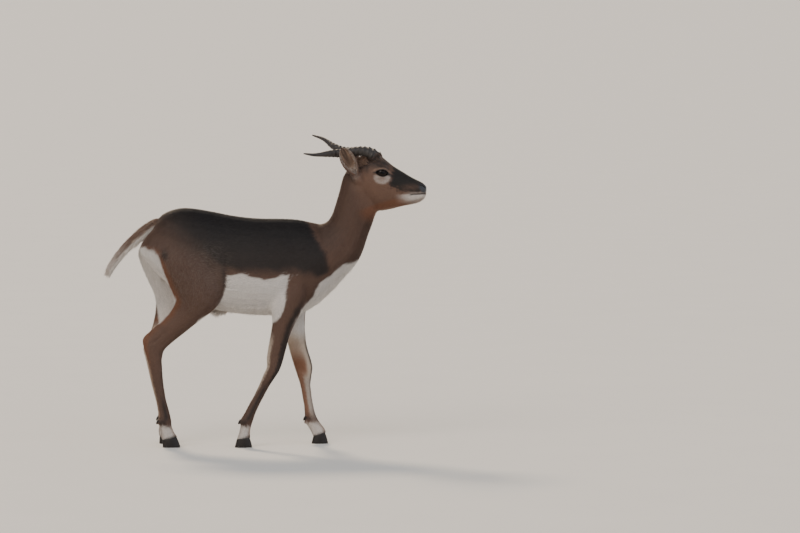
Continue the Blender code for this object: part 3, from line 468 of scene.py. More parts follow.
# %% Lines of the coat
# Each line: its name, whether it is drawn in the head's frame, hair length (mm) at its start and
# end, how far its tips stand off (mm), and its points (x, y, z). Lines off the middle are
# mirrored.
LIE = (
    ("spine", False, 13, 16, 3.0, ((0.235, 0, 0.800), (0.200, 0, 0.745), (0.100, 0, 0.764),
                                   (-0.030, 0, 0.765), (-0.150, 0, 0.780), (-0.266, 0, 0.799),
                                   (-0.330, 0, 0.785), (-0.365, 0, 0.755))),
    ("flank", False, 13, 14, 3.0, ((0.170, 0.080, 0.665), (0.080, 0.095, 0.640),
                                   (-0.030, 0.105, 0.620), (-0.120, 0.098, 0.615),
                                   (-0.200, 0.093, 0.635), (-0.260, 0.090, 0.640))),
    ("ribs", False, 13, 14, 3.0, ((0.130, 0.082, 0.545), (0.060, 0.090, 0.520),
                                  (-0.040, 0.094, 0.505), (-0.120, 0.085, 0.495),
                                  (-0.180, 0.078, 0.490))),
    ("belly", False, 18, 20, 6.0, ((0.150, 0, 0.462), (0.050, 0, 0.438), (-0.040, 0, 0.438),
                                   (-0.120, 0, 0.447), (-0.200, 0, 0.462))),
    ("thigh", False, 14, 12, 3.0, ((-0.210, 0.088, 0.735), (-0.240, 0.095, 0.690),
                                   (-0.255, 0.102, 0.620), (-0.245, 0.100, 0.560),
                                   (-0.240, 0.100, 0.500))),
    ("buttock", False, 16, 14, 4.0, ((-0.350, 0.040, 0.765), (-0.395, 0.045, 0.710),
                                     (-0.412, 0.045, 0.650), (-0.392, 0.050, 0.590),
                                     (-0.350, 0.055, 0.525))),
    ("shoulder", False, 12, 11, 2.5, ((0.170, 0.075, 0.640), (0.135, 0.090, 0.570),
                                      (0.100, 0.095, 0.500), (0.075, 0.095, 0.440))),
    ("inner leg", False, 9, 9, 2.0, ((0.080, 0.035, 0.480), (0.075, 0.040, 0.400))),
    ("groin", False, 10, 10, 2.5, ((-0.260, 0.020, 0.540), (-0.270, 0.030, 0.470))),
    ("nape", False, 9, 14, 3.0, ((0.262, 0, 0.925), (0.248, 0, 0.866), (0.237, 0, 0.820),
                                 (0.222, 0, 0.775), (0.190, 0, 0.747))),
    ("neck", False, 9, 14, 3.0, ((0.335, 0.047, 0.860), (0.305, 0.050, 0.800),
                                 (0.285, 0.054, 0.730), (0.255, 0.064, 0.670),
                                 (0.200, 0.078, 0.600), (0.150, 0.088, 0.560))),
    ("throat", False, 10, 20, 4.5, ((0.405, 0, 0.795), (0.368, 0, 0.745), (0.340, 0, 0.680),
                                    (0.320, 0, 0.625), (0.285, 0, 0.575), (0.240, 0, 0.525),
                                    (0.180, 0, 0.475))),
    ("bridge", True, 2.5, 8, 1.2, ((0.536, 0, 0.872), (0.505, 0, 0.893), (0.470, 0, 0.913),
                                   (0.430, 0, 0.938), (0.400, 0, 0.962), (0.363, 0, 0.975),
                                   (0.320, 0, 0.966), (0.285, 0, 0.938))),
    ("cheek", True, 2.5, 8, 1.2, ((0.528, 0.020, 0.862), (0.495, 0.028, 0.868),
                                  (0.455, 0.034, 0.872), (0.420, 0.046, 0.872),
                                  (0.380, 0.054, 0.865), (0.335, 0.047, 0.868))),
    ("jaw", True, 4, 9, 1.8, ((0.530, 0, 0.830), (0.495, 0.010, 0.812), (0.455, 0.015, 0.800),
                              (0.420, 0.022, 0.795), (0.385, 0.025, 0.795))),
)


def line_rows(head, start, end, stand, places, side):
    """Anchors along one line: place, direction, hair length, stand, all in metres."""
    turn = head_to_frame if head else to_frame
    path = np.array([turn @ mirrored(p, side) for p in places])
    fine = smooth_rows(path, 6)
    ahead = unit(np.gradient(fine, axis=0))
    length = np.linspace(start, end, len(fine)) * MM
    return np.column_stack((fine, ahead, length, np.full(len(fine), stand * MM)))


def leg_rows(line):
    """Anchors down a leg, with shorter hair towards the hoof."""
    path = smooth_rows(line[:, :3], 1)
    ahead = unit(np.gradient(path, axis=0))
    length = np.interp(path[:, 2], (0.03, 0.09, 0.13, 0.40), (9, 9, 6, 10)) * MM
    return np.column_stack((path, ahead, length, np.full(len(path), 1.6 * MM)))


tail_path = np.array([step + Vector((x, 0, z)) for x, z in smooth_rows(TAIL, 4)[:, :2]])
tail_ahead = unit(np.gradient(tail_path, axis=0))
tail_hair = np.interp(np.linspace(0, 1, len(tail_path)), (0, 0.3, 0.7, 1), (14, 22, 36, 40)) * MM
rows = [np.column_stack((tail_path, tail_ahead, tail_hair, np.full(len(tail_path), 5 * MM)))]
for _, head, start, end, stand, places in LIE:
    sides = (1,) if all(p[1] == 0 for p in places) else (-1, 1)
    rows += [line_rows(head, start, end, stand, places, side) for side in sides]
rows += [leg_rows(line) for line in legs.values()]
anchors = np.vstack(rows)
print(len(anchors), "anchors of the coat")


# %% The lie at any point
def coat_at(places, normals):
    """Direction along the skin, hair length and stand at each place."""
    out = np.empty((len(places), 5))
    for first in range(0, len(places), BATCH):
        here = places[first:first + BATCH]
        away = ((here[:, None, :] - anchors[None, :, :3]) ** 2).sum(axis=2)
        share = 1 / (away + 1e-4) ** 3
        out[first:first + BATCH] = share @ anchors[:, 3:] / share.sum(axis=1)[:, None]
    ahead = out[:, :3]
    ahead = ahead - normals * (ahead * normals).sum(axis=1)[:, None]
    ahead /= np.linalg.norm(ahead, axis=1)[:, None] + 1e-9
    return ahead, out[:, 3], out[:, 4]


normals = normals_of(skin)
flow, hair_length, stand = coat_at(points, normals)
print("hair from", round(hair_length.min() / MM, 1), "to", round(hair_length.max() / MM, 1), "mm")

# %% [markdown]
# The coat's outside is the size of the animal, so the skin under it is set in by the depth of the
# hair that lies on it: a millimetre or less on the face and the feet, about four on the trunk.

# %% Setting the skin in
TAIL_REACH, TAIL_START, TAIL_INSET = 0.021, -0.38, 1.5 * MM
on_tail = np.linalg.norm(points[:, None] - tail_path[None, 5:], axis=2).min(axis=1) < TAIL_REACH
inset = np.where(on_tail & (points[:, 0] < TAIL_START), TAIL_INSET, stand * 1.05 + 0.2 * MM)
put_points(skin, points - normals * inset[:, None])
shade_smooth(skin)
points, normals = points_of(skin), normals_of(skin)
print("set in by", round(inset.min() / MM, 2), "to", round(inset.max() / MM, 2), "mm")

# %% [markdown]
# ## Markings
#
# A young male is between coats: a nearly black saddle over brown, white below and behind, a dark
# mask with pale rings round the eyes, and pale insides to the legs. The edges are soft and a
# little ragged. They are drawn here as a few closed outlines in the side view and as bands along
# each leg, and one function gives the colour at any place. The skin and the hair both ask it, so
# they agree.

# %% Outlines of the markings
# Closed outlines (x, z) in the side view.
FLANK_WHITE = ((-0.119, 0.576), (-0.079, 0.583), (-0.052, 0.580), (-0.025, 0.570), (0.005, 0.563),
               (0.035, 0.569), (0.062, 0.580), (0.086, 0.583), (0.078, 0.539), (0.072, 0.494),
               (0.064, 0.462), (0.055, 0.442), (0.040, 0.428), (0.018, 0.420), (-0.050, 0.412),
               (-0.240, 0.400), (-0.215, 0.435), (-0.180, 0.449), (-0.158, 0.471),
               (-0.139, 0.502), (-0.123, 0.539))
CHEST_WHITE = ((0.330, 0.640), (0.318, 0.633), (0.293, 0.623), (0.266, 0.616), (0.240, 0.596),
               (0.222, 0.576), (0.209, 0.570), (0.189, 0.556), (0.176, 0.533), (0.166, 0.509),
               (0.146, 0.489), (0.121, 0.466), (0.100, 0.400), (0.400, 0.400), (0.400, 0.640))
RUMP_WHITE = ((-0.366, 0.666), (-0.353, 0.648), (-0.346, 0.620), (-0.337, 0.590),
              (-0.324, 0.553), (-0.306, 0.519), (-0.297, 0.499), (-0.303, 0.476),
              (-0.318, 0.449), (-0.350, 0.415), (-0.480, 0.415), (-0.480, 0.676), (-0.400, 0.676))
# The dark stripe down the front of the near upper foreleg.
FORE_STRIPE = ((0.138, 0.515), (0.120, 0.480), (0.104, 0.450), (0.091, 0.425), (0.079, 0.398),
               (0.064, 0.350))
# The far edge of the white on the back of each thigh (z, x): beyond it the hair is rusty.
THIGH_EDGE = ((0.410, -0.356), (0.460, -0.364), (0.500, -0.374), (0.535, -0.397), (0.560, -0.480))
# The saddle is dark above this line (x, z) and behind the edge of the shoulder (z, x).
SADDLE_LOW = ((-0.42, 0.790), (-0.36, 0.770), (-0.30, 0.725), (-0.24, 0.672), (-0.18, 0.622),
              (-0.13, 0.600), (0.02, 0.592), (0.10, 0.596), (0.16, 0.586), (0.20, 0.566),
              (0.24, 0.545))
SADDLE_FRONT = ((0.440, 0.110), (0.560, 0.165), (0.593, 0.216), (0.633, 0.209), (0.657, 0.199),
                (0.690, 0.179), (0.720, 0.166), (0.744, 0.146), (0.790, 0.120))


def step_up(value, low, high):
    """0 below low, 1 above high and smooth between."""
    t = np.clip((value - low) / (high - low), 0, 1)
    return t * t * (3 - 2 * t)


def under(value, top, soft):
    """1 below top less soft, 0 above top and smooth between."""
    return step_up(top - value, 0, soft)


def bell(value, middle, wide):
    """1 in the middle, falling softly to each side."""
    return np.exp(-((value - middle) / wide) ** 2)


def spot(x, z, at_x, at_z, wide, high):
    """1 in the middle of an oval spot of the side view, falling softly around it."""
    return np.exp(-((x - at_x) / wide) ** 2 - ((z - at_z) / high) ** 2)


def even(name, like):
    """One hair colour for every one of some places."""
    return np.tile(HAIR[name], (len(like), 1))


def line_distance(x, z, line):
    """How far places of the side view are from a drawn line."""
    nearest = np.full(len(x), 1e9)
    for (xa, za), (xb, zb) in zip(line, line[1:]):
        t = np.clip(((x - xa) * (xb - xa) + (z - za) * (zb - za))
                    / ((xb - xa) ** 2 + (zb - za) ** 2), 0, 1)
        nearest = np.minimum(nearest, np.hypot(x - xa - t * (xb - xa), z - za - t * (zb - za)))
    return nearest


def inside(loop, x, z, soft):
    """1 inside a closed outline, 0 outside, smooth over twice the soft distance."""
    loop = np.array(loop)
    within = np.zeros(len(x), bool)
    nearest = line_distance(x, z, (*loop, loop[0]))
    for (xa, za), (xb, zb) in zip(loop, np.roll(loop, -1, axis=0)):
        if za != zb:
            crossing = ((za > z) != (zb > z)) & (x < xa + (z - za) / (zb - za) * (xb - xa))
            within ^= crossing
    return step_up(np.where(within, nearest, -nearest), -soft, soft)


def wobble(places, size, seed):
    """Smooth noise from about -1 to 1 that changes over a given size."""
    q = places / size + seed
    return (np.sin(q[:, 0] * 2.1 + 1.7 * np.sin(q[:, 1] * 1.3 + q[:, 2] * 0.7))
            * np.sin(q[:, 1] * 1.9 + 1.3 * np.sin(q[:, 2] * 1.7 + q[:, 0] * 0.9))
            + 0.6 * np.sin(q[:, 2] * 2.3 + q[:, 0] * 1.1)) / 1.3


def mix(base, colour, share):
    """Base with a share of a colour, given as numbers or by the name of a hair colour."""
    target = HAIR[colour] if isinstance(colour, str) else colour
    return base + (target - base) * np.reshape(share, (-1, 1))


print("three outlines and a saddle")

# %% The colour of the trunk and the neck
def trunk_colour(drawn, normals):
    """Colour of trunk, neck and upper legs at drawn places."""
    x, y, z = drawn.T
    ragged = wobble(drawn, 0.005, 3.0) * 0.0010 + wobble(drawn, 0.020, 8.0) * 0.0022
    left = y > 0
    colour = even("brown", x)
    low = np.interp(x, *np.array(SADDLE_LOW).T) + ragged * 2
    front = np.interp(z, *np.array(SADDLE_FRONT).T) + ragged * 2
    thigh = step_up(-x, 0.12, 0.22)
    saddle = step_up(z - low, -0.026 - 0.05 * thigh, 0.020 + 0.045 * thigh)
    saddle = saddle * step_up(front - x, -0.012, 0.012)
    colour = mix(colour, "dark", saddle)
    colour = mix(colour, "black", saddle * step_up(z - low, 0.02, 0.14) * 0.9)
    haunch = step_up(x, -0.31, -0.13) * under(x, -0.105, 0.045) * step_up(z, 0.46, 0.60)
    haunch = haunch * (1 - saddle)
    colour = mix(mix(colour, "dark", haunch * 0.38), "ash", haunch * 0.07)
    colour = mix(colour, "dark", under(x, -0.20, 0.08) * step_up(z, 0.42, 0.55) * 0.15)
    neck = step_up(x - front, 0.0, 0.02)
    colour = mix(colour, "dark", neck * 0.35 * step_up(-normals[:, 2] + z - 0.55, 0.1, 0.5))
    colour = mix(colour, "dark", neck * step_up(normals[:, 2], -0.2, 0.7) * 0.45)
    # The leg on each side stands in its own place, so the rump's edge moves with the thigh.
    shift = np.where(left, -0.030, 0) * step_up(-z, -0.66, -0.54)
    rump = inside(RUMP_WHITE, x - shift + ragged, z + ragged, 0.004)
    rust = inside(RUMP_WHITE, x - shift - 0.016 + ragged, z, 0.012) * (1 - rump)
    colour = mix(colour, "rust", rust * 0.75)
    inner = step_up(-normals[:, 1] * np.where(left, 1, -1), 0.05, 0.55)
    below = under(z, 0.60, 0.06)
    between = under(abs(y), 0.075, 0.03)
    rump = np.maximum(rump, inner * below * between * step_up(-x, 0.15, 0.22))
    edge = np.interp(z, *np.array(THIGH_EDGE).T) - 0.030 * (shift == 0)
    rusty = left * step_up(edge - x, -0.002, 0.004)
    rump, rust = rump * (1 - rusty), np.maximum(rust, rusty)
    flank = inside(FLANK_WHITE, x + ragged, z + ragged, 0.0035)
    belly = step_up(-normals[:, 2], 0.25, 0.75) * under(z, 0.50, 0.03)
    belly = belly * under(x, 0.24, 0.03)
    belly = belly * np.maximum(step_up(x, -0.165, -0.135), under(abs(y), 0.045, 0.02))
    chest = inside(CHEST_WHITE, x + ragged, z + ragged, 0.0035)
    chest = chest * (1 - step_up(y, 0.040, 0.056) * under(z, 0.485, 0.05))
    elbow = inner * under(z, 0.50, 0.04) * step_up(x, -0.05, 0.0)
    # A dark spot on the thigh and the foreleg's dark stripe are laid in with a dark line along the
    # fold before the thigh, which is painted shade where the flank folds in.
    dark_marks_and_fold_shade = spot(x, z, -0.3316, 0.648, 0.0125, 0.0165) * 0.92
    fold_shade = bell(x + 0.129 + 0.1 * (z - 0.57), 0, 0.006) * under(z, 0.62, 0.04)
    dark_marks_and_fold_shade = np.maximum(dark_marks_and_fold_shade, fold_shade * step_up(z, 0.515, 0.545) * 0.8)
    stripe = bell(line_distance(x, z, FORE_STRIPE) + ragged, 0, 0.0100)
    stripe = stripe * step_up(-y, 0.03, 0.05) * step_up(-normals[:, 1], -0.3, 0.2)
    dark_marks_and_fold_shade = np.maximum(dark_marks_and_fold_shade, stripe * under(z, 0.525, 0.075) * 0.9)
    white = np.maximum.reduce((rump, flank, belly, chest, elbow))
    colour = mix(colour, "white", white)
    colour = mix(colour, "dark", dark_marks_and_fold_shade * (1 - white))
    # Painted shade: a dark line down the cleft between the buttocks, below the tail.
    cleft_shade = spot(x + 0.399 + 0.25 * (z - 0.65), z, 0, 0.648, 0.0022, 0.010)
    return mix(colour, "dark", cleft_shade * under(abs(y), 0.02, 0.01) * 0.7)


# %% The colour of the legs
def leg_colour(drawn, name, colour):
    """Lays the colours of one lower leg over colour."""
    line = legs[name] - np.array([step.x, step.y, 0, 0, 0])
    x, y, z = drawn.T
    side = 1 if name.endswith("left") else -1
    fore = name.startswith("fore")
    middle, centre, half, width = leg_at(line, z, 0, 1, 3, 4)
    along, out = (x - middle) / half, (y - centre) / width * side
    ragged = wobble(drawn, 0.005, 5.0) * 0.10
    made = mix(even("brown", x), "dark", 0.25 * under(z, 0.30, 0.10))
    pale = step_up(-out + ragged, 0.02, 0.42)
    if fore:
        back = step_up(-along + ragged, 0.45, 0.80) * step_up(z, 0.14, 0.24)
        made = mix(made, "cream", back * 0.8)
        inner_tone = even("cream", x)
        inner_tone = mix(inner_tone, "ash", under(z, 0.25, 0.04) * 0.7)
        tan = under(z, 0.40, 0.10) * under(along, 0.7, 0.8) * step_up(z, 0.22, 0.27)
        patch = (under(z, 0.325, 0.05) * step_up(z, 0.215, 0.25)
                 * under(along, 0.65, 0.5))
        strip = step_up(-along + ragged, -0.20, 0.30) * under(z, 0.27, 0.03)
        inner_tone = mix(inner_tone, "fawn", tan * 0.75)
        inner_tone = mix(inner_tone, "rust", np.maximum(patch * 0.85, strip * 0.85))
        inner_tone = mix(inner_tone, "brown", under(z, 0.13, 0.04) * 0.5)
        made = mix(made, inner_tone, pale)
        forearm = step_up(z, 0.19, 0.23)
        stripe = step_up(along + 0.25 * out + ragged, 0.40, 0.70) * forearm
        stripe = stripe * (1 if side < 0 else under(z, 0.385, 0.06))
        cannon = np.exp(-((along - 0.35 + 0.2 * out) / 0.33) ** 2) * (1 - forearm)
        made = mix(made, "dark", np.maximum(stripe, cannon) * step_up(out, -0.75, -0.15)
                   * step_up(z, 0.075, 0.10) * 0.92)
    else:
        behind = step_up(-along + ragged, 0.45, 0.80) * step_up(z, 0.25, 0.32)
        made = mix(made, "rust", behind * 0.6)
        made = mix(made, "cream", pale * (0.92 - 0.5 * step_up(along, 0.3, 0.8)))
        # A paler fawn strip down the back of the hind cannon is a painted highlight along the edge
        # that the light from behind catches.
        back = step_up(-along + ragged, 0.55, 0.85) * under(z, 0.30, 0.05)
        made = mix(made, "fawn", back * 0.6)
        low_stripe = bell(along, 0.25, 0.35) * under(z, 0.19, 0.06)
        low_stripe = low_stripe * step_up(z, 0.075, 0.09) * step_up(out, -0.5, 0.1)
        made = mix(made, "dark", low_stripe * 0.9)
        front = step_up(along + ragged, 0.55, 0.95) * step_up(z, 0.19, 0.26)
        made = mix(made, "dark", front * 0.25)
    fetlock = bell(z, 0.086, 0.010)
    made = mix(made, "dark", fetlock * step_up(-along, -0.6, 0.2) * 0.75)
    made = mix(made, "brown", fetlock * step_up(along, -0.2, 0.6) * 0.6)
    mottle = 0.5 + 0.5 * wobble(drawn, 0.004, 9.0)
    pastern = step_up(0.078 + ragged * 0.03 - z, 0, 0.010)
    made = mix(made, "white", pastern * 0.85)
    dusty = (step_up(along, 0.35, 0.9) * 0.7 + 0.25 * mottle).clip(0, 1)
    made = mix(made, "fawn", pastern * dusty)
    made = mix(made, "brown", pastern * step_up(-along, 0.55, 0.95) * 0.6)
    made = mix(made, "dark", step_up(0.040 - z + 0.010 * along, 0, 0.008) * 0.85)
    top = LEG_TOP["fore" if fore else "hind"]
    near = step_up(top - 0.01 - z, 0, 0.05)
    near = near * (abs(x - middle) < half + 0.02) * (abs(y - centre) < width + 0.012)
    return colour + (made - colour) * near[:, None]


# %% The head's own places
EYE_LEVEL = Vector((1, 0, -0.10))
EYE_ALONG = (EYE_LEVEL - EYE_LOOK * EYE_LEVEL.dot(EYE_LOOK)).normalized()
EYE_HIGH = EYE_ALONG.cross(EYE_LOOK)
LID_LONG, LID_HIGH, ALMOND = 0.0196, 0.0108, 0.25   # half sizes, and how the almond narrows
head_from_frame = np.array(head_to_frame.inverted())
turned = np.array(head_turn)


def drawn_to_head(drawn):
    """Drawn places as they lie in the head's own frame, before it was turned."""
    framed = drawn + STEP
    return framed @ head_from_frame[:3, :3].T + head_from_frame[:3, 3]


def side_view(square):
    """Places of the turned head as seen from its right side, with the left side mirrored."""
    out = square.copy()
    out[:, 1] = -abs(out[:, 1])
    return out @ turned[:3, :3].T + turned[:3, 3]


def nose_pad(square):
    """1 on the bare skin of the nose, below and around the nostril."""
    sx, sz = side_view(square)[:, [0, 2]].T
    pad = step_up(sx + 0.5 * (sz - 0.862), 0.5150, 0.5200) * under(sz, 0.8725, 0.003)
    front = step_up(sx + 0.25 * (sz - 0.87), 0.5350, 0.5385)
    middle = under(abs(square[:, 1]), 0.0095, 0.003) * step_up(sx, 0.520, 0.524)
    low = 0.8505 - 0.0035 * middle
    return np.maximum.reduce((pad, front, middle * (sz < 0.878))) * step_up(sz - low, 0, 0.003)


def eye_scale(square):
    """How many times the eye's almond must grow to reach each place, and how high it lies."""
    offset = square.copy()
    offset[:, 1] = abs(offset[:, 1])
    offset -= np.array(EYE_PLACE)
    u, v = offset @ np.array(EYE_ALONG) / LID_LONG, offset @ np.array(EYE_HIGH) / LID_HIGH
    flat = 1 - ALMOND * u * u / (u * u + v * v + 1e-9)
    return np.hypot(u, v / flat), u, v


# %% The colour of the head
# The dark mask before the eye, and the pale patch below it, as seen from the side (x, z).
MASK = ((0.428, 0.926), (0.4215, 0.915), (0.4225, 0.898), (0.4150, 0.884), (0.4175, 0.871),
        (0.4360, 0.868), (0.4480, 0.857), (0.4690, 0.854), (0.4900, 0.8515), (0.5140, 0.850),
        (0.5240, 0.8600), (0.560, 0.865), (0.560, 0.940), (0.430, 0.975))
MOUTH = ((0.484, 0.8432), (0.500, 0.8455), (0.533, 0.8472))
NOSTRIL = ((0.5170, 0.8757), (0.5225, 0.8750), (0.5285, 0.8724), (0.5335, 0.8680))
TEAR = ((0.4095, 0.9125), (0.4180, 0.9085), (0.4240, 0.9040))


def head_colour(drawn, colour):
    """Lays the face over colour."""
    square = drawn_to_head(drawn)
    sx, sz = side_view(square)[:, [0, 2]].T
    x, y, z = square.T
    y = abs(y)
    ragged = wobble(square, 0.004, 2.0) * 0.0012
    spots = 0.5 + 0.5 * wobble(square, 0.0045, 6.0)
    face = step_up(x - 0.290 + (z - 0.86) * 0.25, 0.0, 0.045) * step_up(z, 0.748, 0.785)
    bridge = np.interp(x, (0.29, 0.36, 0.41, 0.46, 0.51, 0.54),
                       (0.94, 0.97, 0.955, 0.919, 0.892, 0.87))
    drop = bridge - z + ragged
    scale, u, v = eye_scale(square)
    on_side = step_up(y, 0.016, 0.026)
    made = even("cheek", x)
    made = mix(made, "brown", under(drop, 0.060, 0.03) * 0.7 + 0.25 * spots)
    forehead = under(drop, 0.040, 0.026) * under(x, 0.435, 0.03)
    made = mix(made, "dark", forehead * (0.66 + 0.3 * spots))
    temple = spot(sx, sz, 0.343, 0.932, 0.006, 0.016)
    made = mix(made, "dark", temple * 0.6)
    mask = inside(MASK, sx + ragged * 5 - 0.004 * spots, sz + ragged * 4, 0.007)
    grizzle = spot(sx, sz, 0.487, 0.869, 0.030, 0.010)
    made = mix(made, "mask", mask * (1 - 0.75 * (grizzle * (0.35 + 0.5 * spots))))
    upper_ring = bell(scale, 1.45, 0.22) * step_up(v, -0.3, 0.5) * on_side
    made = mix(made, "fawn", upper_ring * 0.45)
    patch = np.hypot((sx - 0.3925) / 0.0290, (sz - 0.9050) / 0.0265)
    patch = step_up(1.06 - patch + ragged * 15, 0, 0.30) * step_up(0.9120 - sz, -0.003, 0.008)
    patch = patch * on_side
    lower_lid = spot(sx, sz, 0.391, 0.8985, 0.016, 0.0065)
    made = mix(made, "ring", patch * (0.56 + 0.12 * spots - 0.38 * lower_lid))
    tear = bell(line_distance(sx, sz, TEAR), 0, 2.6 * MM)
    made = mix(made, "dark", tear * on_side * 0.85)
    eye_corners = np.maximum(spot(u, v, 1.25, -0.25, 0.28, 0.40),
                             spot(u, v, -1.22, -0.10, 0.20, 0.35))
    ear_root = spot(sx, sz, 0.300, 0.910, 0.012, 0.016) * on_side
    made = mix(made, "ring", ear_root * 0.40)
    rim = under(scale, 1.24, 0.14) * on_side
    made = mix(made, "black", np.clip(np.maximum(rim, eye_corners * on_side), 0, 1))
    chin = step_up(0.8475 + ragged - sz, 0, 0.006) * step_up(sx, 0.430, 0.490)
    chin = chin * step_up(sz - 0.815 + 0.20 * (0.49 - sx), 0, 0.016)
    upper = step_up(0.8555 - sz + ragged, 0, 0.006) * step_up(sx, 0.455, 0.510)
    made = mix(made, "white", chin * (0.70 + 0.2 * spots))
    made = mix(made, "ash", upper * (1 - chin) * 0.75)
    rusty = step_up(0.836 - sz - 0.30 * np.maximum(0.43 - sx, 0), 0, 0.014)
    made = mix(made, "rust", rusty * under(sx, 0.500, 0.05) * 0.60)
    throat = under(z, 0.815, 0.020) * under(x, 0.48, 0.02)
    made = mix(made, "cream", throat * under(y, 0.024, 0.02) * 0.28)
    made = mix(made, "nose", nose_pad(square))
    hole = line_distance(sx, sz, NOSTRIL) - 6 * MM * under(y, 0.004, 0.004)
    made = mix(made, "nose", step_up(5.4 * MM - hole, 0, 1.6 * MM) * 0.9)
    # Painted shade: near black deep inside each nostril, where the hollow lies in shadow.
    nostril_shade = step_up(2.6 * MM - hole, 0, 1.4 * MM) * step_up(y, 0.004, 0.008)
    made = mix(made, linear("040303"), nostril_shade)
    # The black line where the lips meet is partly dark lip skin and partly painted shade of the
    # crease between them.
    mouth = bell(line_distance(sx, sz, MOUTH), 0, 2.5 * MM)
    made = mix(made, "black", np.clip(mouth * 1.3, 0, 1) * 0.92)
    brow_tuft = np.exp(-(((x - 0.385) / 0.013) ** 2 + ((z - 0.962) / 0.010) ** 2
                         + ((y - 0.014) / 0.012) ** 2))
    made = mix(made, "fawn", brow_tuft * 0.55)
    return colour + (made - colour) * face[:, None]


# %% [markdown]
# ## Folds and muscles
#
# Under short hair the muscles, tendons and folds show as shallow grooves and ridges. Each is drawn
# as a line in the side view and pressed into the skin with a soft round profile, which keeps them
# easy to move and needs no sculpting by hand.

# %% Grooves and ridges
# Each: its line (x, z), height and half width in millimetres, and the side (0 is both).
BODY_STROKES = (
    (((-0.121, 0.643), (-0.124, 0.569), (-0.139, 0.509), (-0.169, 0.457)), -2.4, 7, 0),
    (((-0.150, 0.650), (-0.152, 0.580), (-0.168, 0.520)), 1.8, 14, 0),
    (((0.130, 0.741), (0.089, 0.643), (0.081, 0.576)), -1.6, 11, 0),
    (((0.081, 0.576), (0.070, 0.494), (0.048, 0.434)), -2.2, 8, 0),
    (((0.175, 0.733), (0.216, 0.643), (0.216, 0.569), (0.200, 0.540)), -1.5, 11, 0),
    (((0.150, 0.690), (0.130, 0.620), (0.128, 0.560), (0.110, 0.500)), 1.8, 17, 0),
    (((0.332, 0.778), (0.290, 0.700), (0.257, 0.643)), -1.3, 11, 0),
    (((-0.255, 0.700), (-0.300, 0.620), (-0.292, 0.530), (-0.270, 0.480)), 1.6, 20, 0),
    (((-0.325, 0.393), (-0.349, 0.372), (-0.373, 0.353)), -1.5, 4.5, -1),
    (((-0.355, 0.393), (-0.379, 0.372), (-0.395, 0.353)), -1.5, 4.5, 1),
)
HEAD_STROKES = (
    (((0.325, 0.901), (0.352, 0.853), (0.373, 0.805)), -1.2, 7, 0),
    (((0.345, 0.880), (0.372, 0.850), (0.392, 0.826)), 1.0, 12, 0),
    (((0.418, 0.871), (0.454, 0.841), (0.478, 0.838)), -0.9, 6, 0),
    (((0.425, 0.899), (0.432, 0.894)), -1.8, 5, 0),
    (((0.364, 0.931), (0.394, 0.938), (0.418, 0.929)), 1.0, 5, 0),
    (((0.372, 0.898), (0.392, 0.893), (0.410, 0.900)), -0.6, 3, 0),
    (MOUTH, -2.0, 2.0, 0),
    (((0.488, 0.8390), (0.510, 0.8405), (0.528, 0.8405)), 0.8, 3.0, 0),
    (NOSTRIL, -3.6, 2.8, 0),
    (((0.512, 0.8845), (0.524, 0.8800), (0.537, 0.8745)), 1.0, 2.6, 0),
    (((0.513, 0.8715), (0.521, 0.8665), (0.530, 0.8630)), 0.6, 2.2, 0),
)
TENDON_TOP = 0.235              # the groove before each leg's tendons ends at this height


def relief_of(x, z, side, strokes):
    """Height of all strokes together at places of the side view."""
    total = np.zeros(len(x))
    for line, high, wide, only in strokes:
        total += (bell(line_distance(x, z, line), 0, wide * MM) * high * MM
                  * ((only == 0) | (side == only)))
    return total


drawn = points - STEP
square = drawn_to_head(drawn)
side = np.sign(drawn[:, 1])
outward = step_up(normals[:, 1] * side, 0.15, 0.50)
relief = relief_of(drawn[:, 0], drawn[:, 2], side, BODY_STROKES) * (drawn[:, 2] < 0.80)
face_view = side_view(square)
on_head = (square[:, 0] > 0.30) & (square[:, 2] > 0.79)
relief += relief_of(face_view[:, 0], face_view[:, 2], side, HEAD_STROKES) * on_head
for name, line in legs.items():
    own = leg_quarter(name, drawn[:, 0], drawn[:, 1]) & (drawn[:, 2] < TENDON_TOP)
    middle, half = leg_at(line, points[:, 2], 0, 3)
    along = (points[:, 0] - middle) / half
    groove = bell(along, -0.22, 0.20) * step_up(points[:, 2], 0.10, 0.125)
    relief -= own * groove * step_up(TENDON_TOP - points[:, 2], 0, 0.04) * 1.3 * MM
    outward = np.where(own, abs(normals[:, 1]) ** 2, outward)
put_points(skin, points + normals * (relief * outward)[:, None])
points, normals = points_of(skin), normals_of(skin)
print("pressed in by up to", round(-relief.min() / MM, 2), "mm")

# %% One function for every colour
HEAD_LOW, HEAD_BACK = 0.74, 0.24        # the face may lie above and before these


def coat_colour(places, normals):
    """Linear colour of the coat at places in the frame."""
    drawn = places - STEP
    colour = trunk_colour(drawn, normals)
    for name in legs:
        here = (drawn[:, 2] < LEG_TOP[name[:4]]) & leg_quarter(name, drawn[:, 0], drawn[:, 1])
        colour[here] = leg_colour(drawn[here], name, colour[here])
    x, _, z = drawn.T
    here = (z > HEAD_LOW) & (x > HEAD_BACK)
    colour[here] = head_colour(drawn[here], colour[here])
    on_tail = np.linalg.norm(places[:, None] - tail_path[None, 4:], axis=2)
    near, index = on_tail.min(axis=1), on_tail.argmin(axis=1) + 4
    tail = under(near, 0.034, 0.008) * step_up(-x, 0.385, 0.40)
    up = np.cross((0, 1, 0), tail_ahead[index])
    top_side = step_up((normals * up).sum(axis=1), -0.15, 0.35)
    tip = step_up(index / len(tail_path), 0.72, 0.95)
    made = mix(even("cream", x), "brown", top_side * (1 - 0.6 * tip))
    return colour + (made - colour) * tail[:, None]


skin_colour = coat_colour(points, normals)
print("mean skin colour", skin_colour.mean(axis=0).round(3))

